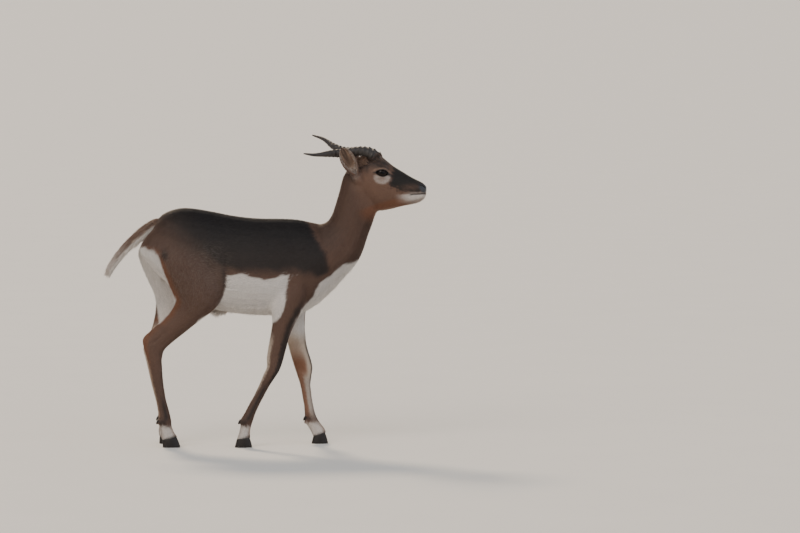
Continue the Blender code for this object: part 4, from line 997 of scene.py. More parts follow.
# %% [markdown]
# ## Skin finish
#
# Where hair is very short, as on the face and the legs, the skin itself must look furred. Each
# point of the skin keeps its colour, how bare it is (nose, lips and lids) and whether its hair
# runs down or along. Two stretched noises, one for each way, give the fine streaks of lying hair.

# %% Values kept on the skin
def keep_colour(made, name, colour):
    layer = made.data.color_attributes.new(name, "FLOAT_COLOR", "POINT")
    layer.data.foreach_set("color", np.column_stack((colour, np.ones(len(colour)))).ravel())


def keep_number(made, name, values):
    made.data.attributes.new(name, "FLOAT", "POINT").data.foreach_set("value", values)


def bareness(places):
    """1 on the nose pad and the rims of eyes and lips, 0 on hair."""
    square = drawn_to_head(places - STEP)
    sx, sz = side_view(square)[:, [0, 2]].T
    lips = bell(line_distance(sx, sz, MOUTH), 0, 2.2 * MM)
    hole = step_up(5.2 * MM - line_distance(sx, sz, NOSTRIL), 0, 1.6 * MM)
    return np.maximum.reduce((nose_pad(square), lips, hole)) * (sz > 0.8) * (sx > 0.45)


keep_colour(skin, "coat", skin_colour)
keep_number(skin, "bare", bareness(points))
keep_number(skin, "hang", flow[:, 2] ** 2)

# %% The skin's material: short hair on hide
# Lying hair scatters light widely, so it is rough, with a little sheen along its edges. Streaks
# are 1.2 mm apart and drawn 12 mm long; the real ones, a tenth of that, are too fine to show.
STREAK, STREAK_LONG = 1.2 * MM, 12 * MM

skin_finish, tree, shader = new_material("short_hair_on_hide")
coat = add(tree, "ShaderNodeAttribute", attribute_name="coat")
bare = add(tree, "ShaderNodeAttribute", attribute_name="bare")
hang = add(tree, "ShaderNodeAttribute", attribute_name="hang")
place = add(tree, "ShaderNodeTexCoord")
streaks = []
for scale in ((1 / STREAK_LONG, 1 / STREAK, 1 / STREAK),
              (1 / STREAK, 1 / STREAK, 1 / STREAK_LONG)):
    lay = add(tree, "ShaderNodeMapping", {"Vector": place.outputs["Object"]}, Scale=scale)
    streaks.append(add(tree, "ShaderNodeTexNoise", {"Vector": lay.outputs["Vector"]},
                       Scale=1.0, Detail=3.0, Roughness=0.6))
streak = add(tree, "ShaderNodeMix", {"Factor": hang.outputs["Fac"], 2: streaks[0].outputs["Fac"],
                                     3: streaks[1].outputs["Fac"]})
shade = add(tree, "ShaderNodeMapRange", {"Value": streak.outputs[0]},
            From_Min=0.3, From_Max=0.7, To_Min=0.72, To_Max=1.22)
tint = add(tree, "ShaderNodeVectorMath", {0: coat.outputs["Color"], 1: shade.outputs[0]},
           operation="MULTIPLY")
grain = add(tree, "ShaderNodeTexVoronoi", {"Vector": place.outputs["Object"]},
            Scale=1 / (1.3 * MM))
grain = add(tree, "ShaderNodeMapRange", {"Value": grain.outputs["Distance"]}, To_Max=0.35)
relief = add(tree, "ShaderNodeMix", {"Factor": bare.outputs["Fac"], 2: streak.outputs[0],
                                     3: grain.outputs[0]})
bump = add(tree, "ShaderNodeBump", {"Height": relief.outputs[0]}, Strength=0.55, Distance=0.8 * MM)
gloss = add(tree, "ShaderNodeMapRange", {"Value": bare.outputs["Fac"]}, To_Min=0.68, To_Max=0.44)
tree.links.new(tint.outputs[0], shader.inputs["Base Color"])
tree.links.new(gloss.outputs[0], shader.inputs["Roughness"])
tree.links.new(bump.outputs[0], shader.inputs["Normal"])
set_inputs(shader, Sheen_Weight=0.12, Specular_IOR_Level=0.35)
skin.data.materials.clear()
dress(skin, skin_finish, "body_coat", *flesh_names)

# %% [markdown]
# ## The coat
#
# A renderer's own hair would not survive an export, so every tuft here is a small solid: a flat
# three-sided blade with its root in the skin, a bend and a fine tip. The blades are laid out with
# numpy, all at once. Roots are drawn on the skin in proportion to its area, and the bend and the
# tip are then brought back to the nearest skin, so that the blades follow the body round its
# curves.

# %% The skin as triangles
skin.data.calc_loop_triangles()
triangles = values_of(skin.data.loop_triangles, "vertices", 3, np.int32)
corners = points[triangles]
crosses = np.cross(corners[:, 1] - corners[:, 0], corners[:, 2] - corners[:, 0])
areas = np.linalg.norm(crosses, axis=1) / 2
centres = corners.mean(axis=1) - STEP
skin_tree = BVHTree.FromPolygons([tuple(p) for p in points], triangles.tolist())
print("skin area", round(areas.sum(), 3), "square metres")


# %% Which piece of the coat each triangle grows
def above_line(drawn, xa, za, xb, zb):
    """Above a slanted line in the side view."""
    return (xb - xa) * (drawn[:, 2] - za) - (zb - za) * (drawn[:, 0] - xa) > 0


def piece_names(drawn):
    """The name of the coat's piece at drawn places."""
    x, y, z = drawn.T
    side = np.where(y > 0, "left", "right")
    ahead = x > BETWEEN_LEGS
    fore = np.where(ahead, "fore", "hind")
    names = np.char.add(np.where(ahead, "coat_trunk_", "coat_haunch_"), side)
    low = z < np.where(ahead, LEG_TOP["fore"], LEG_TOP["hind"])
    names = np.where(low, np.char.add(np.char.add("coat_", fore), np.char.add("_", side)), names)
    neck = above_line(drawn, 0.211, 0.757, 0.326, 0.648) & (x > 0.15)
    names = np.where(neck, "coat_neck", names)
    names = np.where(neck & above_line(drawn, 0.262, 0.908, 0.384, 0.800), "coat_head", names)
    far = np.linalg.norm(drawn[:, None] - (tail_path - STEP)[None, 5:], axis=2).min(axis=1)
    return np.where((far < 0.03) & (x < -0.385), "coat_tail", names)


names = piece_names(centres)
for name in sorted(set(names)):
    print(name, round(areas[names == name].sum(), 4), "square metres")

# %% An unwrap for each piece
# Each tuft takes a small patch of the map at the place of its root, for its colours to be baked to,
# so the map is the skin's own: how far along the piece's middle line, and which way round it.
AXES = {
    "coat_trunk": ((-0.50, 0, 0.62), (0.36, 0, 0.60)),
    "coat_haunch": ((-0.50, 0, 0.66), (0.10, 0, 0.60)),
    "coat_neck": ((0.400, 0, 0.960), (0.325, 0, 0.840), (0.280, 0, 0.720), (0.180, 0, 0.580)),
    "coat_head": ((0.200, 0, 0.950), (0.360, 0, 0.885), (0.600, 0, 0.830)),
    "coat_tail": ((-0.330, 0, 0.765), (-0.402, 0, 0.722), (-0.475, 0, 0.655), (-0.560, 0, 0.520)),
}
PATCH = 0.003                   # side of one tuft's patch on the map


def axis_of(name):
    """The middle line of a piece of the coat, in the frame."""
    leg = name.removeprefix("coat_")
    if leg not in legs:
        return np.array(AXES[next(k for k in AXES if name.startswith(k))]) + STEP
    line = legs[leg][:, :3]
    return np.vstack((line[0] * 2 - line[2], line[::4], line[-1] * 2 - line[-3]))


def unwrap(places, axis):
    """Distance along an axis and the way round it, each spread from 0 to 1."""
    fine = smooth_rows(axis, 40)
    ahead = unit(np.gradient(fine, axis=0))
    index = np.empty(len(places), int)
    for first in range(0, len(places), BATCH):
        gap = places[first:first + BATCH, None] - fine[None]
        index[first:first + BATCH] = (gap ** 2).sum(axis=2).argmin(axis=1)
    offset = places - fine[index]
    up = np.cross(ahead[index], (0, 1, 0))
    along = index * np.linalg.norm(fine[1] - fine[0]) + (offset * ahead[index]).sum(axis=1)
    turn = np.arctan2(offset[:, 1], (offset * up).sum(axis=1))
    out = np.column_stack((along, turn))
    low, high = out.min(axis=0), out.max(axis=0)
    return PATCH + (1 - 2 * PATCH) * (out - low) / (high - low)


# %% The coat's material: hair
# Keratin's index is about 1.55. Locks of dry hair glint along their length but never mirror.
hair_finish, tree, shader = new_material("animal_hair")
coat = add(tree, "ShaderNodeAttribute", attribute_name="coat")
place = add(tree, "ShaderNodeTexCoord")
fleck = add(tree, "ShaderNodeTexNoise", {"Vector": place.outputs["Object"]}, Scale=1 / (2.5 * MM),
            Detail=2.0)
shade = add(tree, "ShaderNodeMapRange", {"Value": fleck.outputs["Fac"]},
            From_Min=0.3, From_Max=0.7, To_Min=0.86, To_Max=1.12)
tint = add(tree, "ShaderNodeVectorMath", {0: coat.outputs["Color"], 1: shade.outputs[0]},
           operation="MULTIPLY")
tree.links.new(tint.outputs[0], shader.inputs["Base Color"])
set_inputs(shader, Roughness=0.58, IOR=1.55, Specular_IOR_Level=0.30, Sheen_Weight=0.10)


# %% Solid blades of hair
def mesh_from_arrays(name, places, triangles):
    mesh = bpy.data.meshes.new(name)
    mesh.vertices.add(len(places))
    mesh.vertices.foreach_set("co", places.astype(np.float32).ravel())
    mesh.loops.add(triangles.size)
    mesh.loops.foreach_set("vertex_index", triangles.astype(np.int32).ravel())
    mesh.polygons.add(len(triangles))
    mesh.polygons.foreach_set("loop_start", np.arange(0, triangles.size, 3, dtype=np.int32))
    mesh.polygons.foreach_set("use_smooth", np.ones(len(triangles), bool))
    mesh.update(calc_edges=True)
    made = bpy.data.objects.new(name, mesh)
    bpy.context.scene.collection.objects.link(made)
    return made


def onto(tree, places, lift):
    """Places brought back to the nearest skin and lifted off it."""
    out = np.empty_like(places)
    for k, place in enumerate(places):
        near, normal = tree.find_nearest(place)[:2]
        out[k] = near + normal * lift[k]
    return out


# Corners of a bent blade: three at the root, three at the bend and one at the tip. A straight
# blade has no bend.
BENT = np.array([(0, 1, 2), (0, 4, 1), (0, 3, 4), (1, 5, 2), (1, 4, 5), (2, 3, 0), (2, 5, 3),
                 (3, 6, 4), (4, 6, 5), (5, 6, 3)])
STRAIGHT = np.array([(0, 1, 2), (0, 3, 1), (1, 3, 2), (2, 3, 0)])


def coat_mesh(name, solids, faces, share, spread, root_colour, tip_colour, uv, slot):
    """Equal small solids as one piece, coloured from root to tip, with its map for baking."""
    count, size = solids.shape[:2]
    made = mesh_from_arrays(name, solids.reshape(-1, 3),
                            (faces[None] + np.arange(count)[:, None, None] * size).reshape(-1, 3))
    colour = root_colour[:, None] + (tip_colour - root_colour)[:, None] * share[None, :, None]
    keep_colour(made, "coat", colour.reshape(-1, 3).clip(0, 1))
    corner_uv = (uv[:, None] + spread[None] * PATCH / 2)[:, faces.ravel()]
    made.data.uv_layers.new(name="OFBake").data.foreach_set("uv", corner_uv.ravel())
    dress(made, hair_finish, slot)
    print(name, count, "solids", len(made.data.polygons), "triangles")
    return made


def grow(name, tree, roots, normals, ahead, length, width, lift, colours, axis, slot, bent=False):
    """One mesh of blades, with their colours and their map."""
    across = np.cross(ahead, normals)
    half, thick = across * (width / 2)[:, None], normals * (width * 0.32)[:, None]
    sunk = roots - normals * 0.7 * MM - ahead * (width * 0.3)[:, None]
    rings = [sunk - half * 0.7, sunk + half * 0.7, sunk + thick * 1.4]
    if bent:
        middle = onto(tree, roots + ahead * (length * 0.5)[:, None], lift * 0.62)
        rings += [middle - half, middle + half, middle + thick]
    tip = onto(tree, roots + ahead * length[:, None], lift)
    share = np.array([0] * 3 + [0.6] * 3 * bent + [1])
    spread = np.array([(-1, -1), (-1, 1), (-1, 0)] + [(0, -1), (0, 1), (0, 0)] * bent + [(1, 0)])
    made = coat_mesh(name, np.stack(rings + [tip], axis=1), BENT if bent else STRAIGHT, share,
                     spread, *(c.clip(0, 1) for c in colours), unwrap(roots, axis), slot)
    lean = np.array([-0.45, 0.45, 0.1] * (1 + bent) + [0])
    soft = normals[:, None] + across[:, None] * lean[None, :, None]
    made.data.normals_split_custom_set_from_vertices(soft.reshape(-1, 3))


# %% Top lines of the claws
CLAWS = {   # the slanted top line (xa, za, xb, zb), heel x and toe x
    "fore_right": ((-0.048, 0.030, -0.096, 0.026), -0.102, -0.044),
    "fore_left": ((0.202, 0.036, 0.157, 0.022), 0.152, 0.208),
    "hind_right": ((-0.292, 0.034, -0.344, 0.022), -0.342, -0.284),
    "hind_left": ((-0.308, 0.033, -0.361, 0.021), -0.361, -0.301),
}


def coronet_height(places):
    """The height at which the hair ends above the claws, at each place."""
    x, y, _ = (places - STEP).T
    out = np.zeros(len(places))
    for name, ((xa, za, xb, zb), _, _) in CLAWS.items():
        out = np.where(leg_quarter(name, x, y), zb + (za - zb) * (x - xb) / (xa - xb) - 0.5 * MM,
                       out)
    return out


# %% [markdown]
# The hair's size follows the real coat: about 14 mm on the trunk, longer under the throat, belly
# and tail, and only a few millimetres on the face. Single hairs would need millions of blades, so
# one blade stands for a lock of some tens of hairs.

# %% Growing every piece of the coat
# Each piece: steps between roots (mm), blade width (mm), whether its blades bend, and its slot.
SOW = {
    "coat_trunk": (1.95, 1.9, False, "body_coat"), "coat_haunch": (1.90, 1.8, False, "body_coat"),
    "coat_neck": (1.75, 1.6, False, "neck_coat"), "coat_head": (1.50, 1.3, False, "face_coat"),
    "coat_fore": (1.85, 1.6, False, "leg_coat"), "coat_hind": (1.85, 1.6, False, "leg_coat"),
    "coat_tail": (2.0, 2.4, True, "tail_hair"),
}
EYE_CLEAR = 1.20                # no hair within this many times the eye's almond
draw = np.random.default_rng(3)


def corner_weights(count):
    """Random weights of a triangle's three corners, spread evenly over it."""
    a, b = np.sort(draw.uniform(size=(2, count)), axis=0)
    return np.column_stack((a, b - a, 1 - b))


def sow(name, spacing):
    """Roots on the triangles of one piece: triangle numbers and weights of their corners."""
    own = np.flatnonzero(names == name)
    total = np.cumsum(areas[own])
    count = int(total[-1] / spacing ** 2)
    spots = (np.arange(count) + draw.uniform(size=count)) / count * total[-1]
    return own[np.searchsorted(total, spots)], corner_weights(count)


def blend_at(values, chosen, weights, faces=triangles):
    """Values of points, blended at places on triangles."""
    return (values[faces[chosen]] * weights[..., None]).sum(axis=1)


def horn_gap(square, side):
    """How far places in the head's frame are from the surface of a horn."""
    row = np.array(HORN_LINES[side][:5]) * (1, side, 1, 1)
    row[0, 3] *= HORN_ROOT
    away = np.linalg.norm(square[:, None] - row[None, :, :3], axis=2)
    return (away - row[None, :, 3]).min(axis=1)


def bald(roots, outward, kind):
    """Whether places bear no hair: eyes, nose, claws, horns, and what an ear or a horn covers."""
    square = drawn_to_head(roots - STEP)
    out = (eye_scale(square)[0] < EYE_CLEAR) & (abs(square[:, 1]) > 0.02) & (square[:, 0] < 0.45)
    out |= (bareness(roots) >= 0.3) | (roots[:, 2] <= coronet_height(roots))
    if kind in ("coat_head", "coat_neck"):
        out |= np.array([skin_tree.ray_cast(p + n * 1.0 * MM, n, 0.045)[0] is not None
                         for p, n in zip(roots, outward)])
    return out | (horn_gap(square, 1) <= 1.2 * MM) | (horn_gap(square, -1) <= 1.2 * MM)


def grow_piece(name):
    kind = next(k for k in SOW if name.startswith(k))
    spacing, width, bent, slot = SOW[kind]
    chosen, weights = sow(name, spacing * MM)
    outward = unit(blend_at(normals, chosen, weights))
    keep = ~bald(blend_at(points, chosen, weights), outward, kind)
    chosen, weights, outward = chosen[keep], weights[keep], outward[keep]
    roots = blend_at(points, chosen, weights)
    count = len(roots)
    own = blend_at(np.column_stack((flow, hair_length, stand)), chosen, weights)
    turn = draw.normal(0, 0.13, count) + 0.16 * wobble(roots, 0.012, 1.0)
    ahead = own[:, :3] + np.cross(own[:, :3], outward) * turn[:, None]
    ahead = unit(ahead - outward * (ahead * outward).sum(axis=1)[:, None])
    length = own[:, 3] * draw.uniform(0.72, 1.15, count)
    lift = own[:, 4] * draw.uniform(0.55, 1.10, count)
    colour = coat_colour(roots, outward)
    shade = draw.normal(1.0, 0.09, count)[:, None]
    # Three tufts in ten are paler, most of all on the dark thigh.
    pale = (draw.uniform(size=count) < 0.30)[:, None] * 0.34
    dark = (1 - colour.mean(axis=1, keepdims=True) / 0.22).clip(0, 1)
    thigh = step_up(-roots[:, 0], 0.08, 0.20) * step_up(roots[:, 2], 0.40, 0.52)
    thigh *= step_up(0.72 - roots[:, 2], 0, 0.08)
    pale = pale * dark * (0.12 + thigh[:, None])
    colours = colour * shade * 0.84, colour * shade * 1.08 + (HAIR["ash"] - colour) * pale
    widths = np.full(count, width * MM) * draw.uniform(0.75, 1.2, count)
    grow(name, skin_tree, roots, outward, ahead, length, widths, lift, colours, axis_of(name),
         slot, bent)


for name in sorted(set(names)):
    grow_piece(name)

# %% [markdown]
# ## Long hair
#
# The tail, the ragged edge below the belly and chest, the tuft at the belly and the rings of hair
# that hide where horns and ears begin are longer locks. Each follows its own curve, hangs a little
# and ends in a point, so these keep five steps where the short coat needs one.

# %% Locks that follow a curve
LOCK_STEPS = 5
lock_faces = [(0, 1, 2)]
for ring in range(LOCK_STEPS - 2):
    for edge in range(3):
        a, b = ring * 3 + edge, ring * 3 + (edge + 1) % 3
        lock_faces += [(a, a + 3, b), (b, a + 3, b + 3)]
last = (LOCK_STEPS - 2) * 3
lock_faces += [(last + edge, last + 3, last + (edge + 1) % 3) for edge in range(3)]
LOCK_FACES = np.array(lock_faces)
LOCK_PROFILE = np.interp(np.linspace(0, 1, LOCK_STEPS), (0, 0.3, 0.75, 1), (0.7, 1.0, 0.55, 0.0))


def curves(roots, start, end, lengths):
    """Places along curves that set off one way and finish another."""
    t = np.linspace(0, 1, LOCK_STEPS)[None, :, None]
    start, end = unit(start)[:, None], unit(end)[:, None]
    return roots[:, None] + lengths[:, None, None] * (start * t + (end - start) * t * t / 2)


def tones(colour, spread=0.10, mean=1):
    """A colour of random lightness for each lock, drawn once the number of locks is given."""
    return lambda count: (np.broadcast_to(colour, (count, 3))
                          * draw.normal(mean, spread, count)[:, None])


def strands(name, lines, flats, wide, root, tip, axis, slot):
    """Locks along lines. Their width (mm) is one number or drawn between two."""
    count = len(lines)
    widths = (draw.uniform(*wide, count) if isinstance(wide, tuple) else np.full(count, wide)) * MM
    root, tip = (colour(count) if callable(colour) else colour for colour in (root, tip))
    ahead = unit(np.gradient(lines, axis=1))
    flat = unit(flats[:, None] - ahead * (ahead * flats[:, None]).sum(axis=-1, keepdims=True))
    across = np.cross(ahead, flat)
    half = (widths[:, None] / 2 * LOCK_PROFILE)[..., None]
    rings = np.stack((lines - across * half, lines + across * half, lines + flat * half * 0.7),
                     axis=2)
    solids = np.concatenate((rings[:, :-1].reshape(count, -1, 3), lines[:, -1:]), axis=1)
    share = np.append(np.repeat(np.linspace(0, 1, LOCK_STEPS)[:-1], 3), 1.0)
    side = np.append(np.tile((-1.0, 1.0, 0.0), LOCK_STEPS - 1), 0.0)
    coat_mesh(name, solids, LOCK_FACES, share, np.column_stack((share * 2 - 1, side)), root, tip,
              unwrap(lines[:, 0], axis), slot)


def scatter(count, where):
    """Roots, outward directions and the lie on the skin's triangles whose middles pass a test."""
    own = np.flatnonzero(where)
    chosen = draw.choice(own, count, p=areas[own] / areas[own].sum())
    weights = corner_weights(count)
    return (blend_at(points, chosen, weights), unit(blend_at(normals, chosen, weights)),
            unit(blend_at(flow, chosen, weights)))


def jitter(count, size):
    return draw.normal(0, size, (count, 3))


TRUNK_AXIS, HEAD_AXIS, TAIL_AXIS = (axis_of(f"coat_{word}") for word in ("trunk", "head", "tail"))
WHITES = tones(HAIR["white"]), tones(HAIR["white"] * 1.05)
low_x, low_y, low_z = centres.T
facing = unit(crosses)

# %% The tail's locks
# Brown above, white below, paler to the tip; they lie along the tail and part a little at its end.
def tail_spots(where_on, angle):
    """Number and place on the tail's middle line, and the way out at an angle from its top."""
    index = where_on.astype(int)
    share = (where_on - index)[:, None]
    middle = tail_path[index] + (tail_path[index + 1] - tail_path[index]) * share
    up, left = unit(np.cross((0, 1, 0), tail_ahead[index])), np.array((0, 1, 0))
    return index, middle, up * np.cos(angle)[:, None] + left * np.sin(angle)[:, None]


count = 2200
where_on = draw.uniform(1.5, len(tail_path) - 1.02, count)
angle = draw.uniform(-math.pi, math.pi, count)
index, middle, radial = tail_spots(where_on, angle)
ahead, core = tail_ahead[index], smooth_rows(TAIL, 4)[index]
radius = np.hypot(core[:, 3] * np.cos(angle), core[:, 2] * np.sin(angle)) - 1.5 * MM
late = where_on / len(tail_path)
length = np.interp(late, (0.15, 0.4, 1), (20, 30, 34)) * MM * draw.uniform(0.75, 1.1, count)
lines = curves(middle + radial * radius[:, None], ahead + radial * 0.42 + jitter(count, 0.07),
               ahead + np.array((0, 0, -0.22)) + radial * 0.03 + jitter(count, 0.10), length)
above = step_up(np.cos(angle), -0.45, 0.05)[:, None]
pale = step_up(late, 0.42, 0.90)[:, None]
white, brown, white_tip, fawn = (tones(HAIR[word])(count)
                                 for word in ("white", "brown", "white", "fawn"))
root = mix(white, brown, above * (1 - 0.80 * pale))
tip = mix(root, mix(white_tip, fawn, above * (1 - 0.6 * pale)), 0.35 + 0.6 * pale)
strands("coat_tail_locks", lines, radial, (1.6, 2.8), root, tip, TAIL_AXIS, "tail_hair")

# White hair hangs from the tail's root over the rump.
count = 420
where_on = draw.uniform(5, 12, count)
angle = draw.uniform(0.62, 1.0, count) * math.pi * draw.choice((-1, 1), count)
index, middle, radial = tail_spots(where_on, angle)
lines = curves(middle + radial * 11 * MM,
               np.array((-0.35, 0, -0.6)) + radial * 0.5 + jitter(count, 0.12),
               np.array((-0.55, 0, -0.85)) + jitter(count, 0.12), draw.uniform(17, 29, count) * MM)
strands("coat_tail_root", lines, radial, (1.8, 3.0), *WHITES, TAIL_AXIS, "tail_hair")

# %% The ragged edge of belly and chest, and the belly's tuft
belly = ((low_z < 0.475) & (low_z > 0.405) & (low_x > -0.16) & (low_x < 0.09)
         & (facing[:, 2] < -0.70))
count = 1300
roots, out, lie = scatter(count, belly)
length = draw.uniform(8, 15, count) * (1 + 0.45 * wobble(roots, 0.012, 4.0)) * MM
lines = curves(roots, lie * 0.8 + out * 0.55 + jitter(count, 0.14),
               lie * 0.35 + np.array((-0.15, 0, -1.0)) + jitter(count, 0.20), length)
strands("coat_belly_edge", lines, out, (0.8, 1.4), *WHITES, TRUNK_AXIS, "body_coat")

chest = ((low_z > 0.43) & (low_z < 0.60) & (low_x > 0.09) & (abs(low_y) < 0.045)
         & (facing[:, 2] < -0.25))
count = 800
roots, out, lie = scatter(count, chest)
length = draw.uniform(8, 15, count) * (1 + 0.5 * wobble(roots, 0.014, 2.0)) * MM
lines = curves(roots, lie * 0.8 + out * 0.6 + jitter(count, 0.14),
               lie * 0.5 + np.array((0.1, 0, -0.9)) + jitter(count, 0.18), length)
strands("coat_chest_edge", lines, out, (0.8, 1.4), *WHITES, TRUNK_AXIS, "body_coat")

tuft = ((low_x > -0.190) & (low_x < -0.128) & (abs(low_y) < 0.014) & (facing[:, 2] < -0.5)
        & (low_z < 0.50) & (low_z > 0.40))
count = 340
roots, out, lie = scatter(count, tuft)
middle_share = 1 - abs(roots[:, 0] - step.x + 0.160) / 0.034
length = (16 + 24 * middle_share.clip(0, 1) * draw.uniform(0.5, 1.0, count)) * MM
lines = curves(roots, np.array((-0.30, 0, -0.9)) + jitter(count, 0.20),
               np.array((-0.55, 0, -0.75)) + jitter(count, 0.30), length)
strands("coat_belly_tuft", lines, out, (1.0, 1.8), tones(HAIR["cream"] * 0.8),
        tones(HAIR["white"]), TRUNK_AXIS, "body_coat")

# %% Hair along the back of the forearms
count = 260
for name in ("fore_right", "fore_left"):
    own = leg_quarter(name, low_x, low_y) & (low_z > 0.235) & (low_z < 0.41)
    roots, out, lie = scatter(count, own & (facing[:, 0] < -0.75) & (low_x < 0.14))
    lines = curves(roots, lie + out * 0.35 + jitter(count, 0.10),
                   lie + out * 0.15 + jitter(count, 0.10), draw.uniform(5, 9, count) * MM)
    colour = coat_colour(roots, out)
    strands(f"coat_{name}_edge", lines, out, (0.7, 1.1), colour, mix(colour, "white", 0.45),
            axis_of("coat_" + name), "leg_coat")

# %% Hair around the roots of the horns, and the poll
square = drawn_to_head(centres)
head_rotation = np.array(head_to_frame.to_3x3())
count = 420
for side, word in SIDES:
    row, gap = np.array(HORN_LINES[side][:4]) * (1, side, 1, 1), horn_gap(square, side)
    roots, out, lie = scatter(count, (gap > 0.3 * MM) & (gap < 5.5 * MM) & (names == "coat_head")
                              & (square[:, 1] * side > -0.002))
    axis = unit(head_rotation @ (row[2, :3] - row[0, :3]))[None]
    lines = curves(roots, axis * 0.8 + out * 0.8 + jitter(count, 0.12),
                   axis + out * 0.05 + jitter(count, 0.10), draw.uniform(5, 9, count) * MM)
    colour = coat_colour(roots, out)
    strands(f"coat_horn_root_{word}", lines, out, (0.8, 1.3), colour * 0.9,
            tones(colour, 0.12, 1.1), HEAD_AXIS, "face_coat")

poll = ((square[:, 0] > 0.283) & (square[:, 0] < 0.352) & (abs(square[:, 1]) < 0.046)
        & (facing[:, 2] > 0.35) & (square[:, 2] > 0.915))
count = 2400
roots, out, lie = scatter(count, poll)
lines = curves(roots, np.array((-0.5, 0, 0.5)) + out * 0.5 + jitter(count, 0.12),
               np.array((-1.0, 0, 0.1)) + jitter(count, 0.14), draw.uniform(9, 19, count) * MM)
strands("coat_poll", lines, out, (0.7, 1.2), tones(HAIR["brown"] * 0.85),
        tones(HAIR["brown"] * 0.7 + HAIR["fawn"] * 0.5, 0.15), HEAD_AXIS, "face_coat")

# %% [markdown]
# ## Horns
#
# A blackbuck's horn is a hollow sheath of keratin with raised rings from the base to three
# quarters of its length, then a smooth round tip. It is turned as a loft along the horn's line:
# each ring is a narrow ridge in the radius, and a slow twist is given by a slightly flattened
# section.

# %% Horn loft
HORN_RINGS, RING_SHARE, RING_RISE = 14, 0.74, 0.17
HORN_TWIST, HORN_FLAT = 1.25, 0.90
HORN_SIDES, HORN_PROBE = 48, 0.004      # points round the horn, and how far its direction is felt


def section_frame(ahead):
    """Two directions square to a line's direction."""
    across = Vector((0, 1, 0))
    across = (across - ahead * across.dot(ahead)).normalized()
    return across, ahead.cross(across).normalized()


def horn(side, name):
    line = smooth_rows(HORN_LINES[side], 10)
    steps = np.linalg.norm(np.diff(line[:, :3], axis=0), axis=1)
    travel = np.concatenate(([0.0], np.cumsum(steps)))
    total = travel[-1]

    def at(distance):
        return [np.interp(distance, travel, line[:, k]) for k in range(4)]

    rings = []
    for share in np.concatenate((np.linspace(0, RING_SHARE, HORN_RINGS * 12),
                                 np.linspace(RING_SHARE, 1, 40)[1:])):
        here = at(share * total)
        ahead = mirrored(at(min(share * total + HORN_PROBE, total)), side)
        behind = mirrored(at(max(share * total - HORN_PROBE, 0)), side)
        across, up = section_frame((ahead - behind).normalized())
        wave = (0.5 + 0.5 * math.cos(2 * math.pi * HORN_RINGS * share / RING_SHARE)) ** 2.4
        fade = max(0.0, 1 - share / RING_SHARE) ** 0.4
        turn = side * 2 * math.pi * HORN_TWIST * share
        ring = []
        for j in range(HORN_SIDES):
            angle = 2 * math.pi * j / HORN_SIDES
            flat = 1 - (1 - HORN_FLAT) * math.sin(angle - turn) ** 2
            place = Vector((share * 34, math.cos(angle), side * 3 + math.sin(angle)))
            uneven = 0.03 * noise.noise(place)
            sunk = HORN_ROOT + (1 - HORN_ROOT) * min(1, share * total / HORN_ROOT_LONG)
            radius = here[3] * (0.93 + RING_RISE * fade * wave + uneven) * flat * sunk
            outward = across * math.cos(angle) + up * math.sin(angle)
            ring.append(head_to_frame @ (mirrored(here, side) + outward * radius))
        rings.append(ring)
    return skin_rings(name, rings)


# %% The horn's material: weathered keratin
# Dark grey-brown in soft blotches and evenly dull, with fine lengthwise cracks 0.8 mm apart.
horn_finish, tree, shader = new_material("weathered_horn_keratin")
place = add(tree, "ShaderNodeTexCoord")
blotch = add(tree, "ShaderNodeTexNoise", {"Vector": place.outputs["Object"]}, Scale=1 / (9 * MM),
             Detail=4.0)
worn = two_tones(tree, blotch.outputs["Fac"], "12100f", "352d29")
crack = add(tree, "ShaderNodeMapping", {"Vector": place.outputs["Object"]},
            Scale=(1 / (7 * MM), 1 / (0.8 * MM), 1 / (0.8 * MM)))
cracks = add(tree, "ShaderNodeTexNoise", {"Vector": crack.outputs["Vector"]}, Scale=1.0,
             Detail=3.0)
bump = add(tree, "ShaderNodeBump", {"Height": cracks.outputs["Fac"]}, Strength=0.5,
           Distance=0.4 * MM)
tree.links.new(worn, shader.inputs["Base Color"])
tree.links.new(bump.outputs[0], shader.inputs["Normal"])
set_inputs(shader, Roughness=0.55, IOR=1.55)
for side, word in SIDES:
    made = horn(side, f"ringed_horn_{word}")
    dress(made, horn_finish, "horn_sheath", f"horn_{word}")
    print(made.name, len(made.data.polygons), "faces")

# %% [markdown]
# ## Hooves
#
# Each foot ends in two claws of black horn. A claw is a loft from the slanted line where the hair
# ends down to the flat sole, with faint growth rings parallel to that line.

# %% Claws
CLAW_WIDTH, CLAW_APART, CLAW_POINT, CLAW_TAPER = 0.0186, 0.0099, 0.66, 0.06
CLAW_TOP = {True: 0.41, False: 0.48}    # how far the top reaches to the front and to the heel
CLAW_SIDES = 40
FOOT_MIDDLE = 0.066                     # drawn y of the middle of each foot


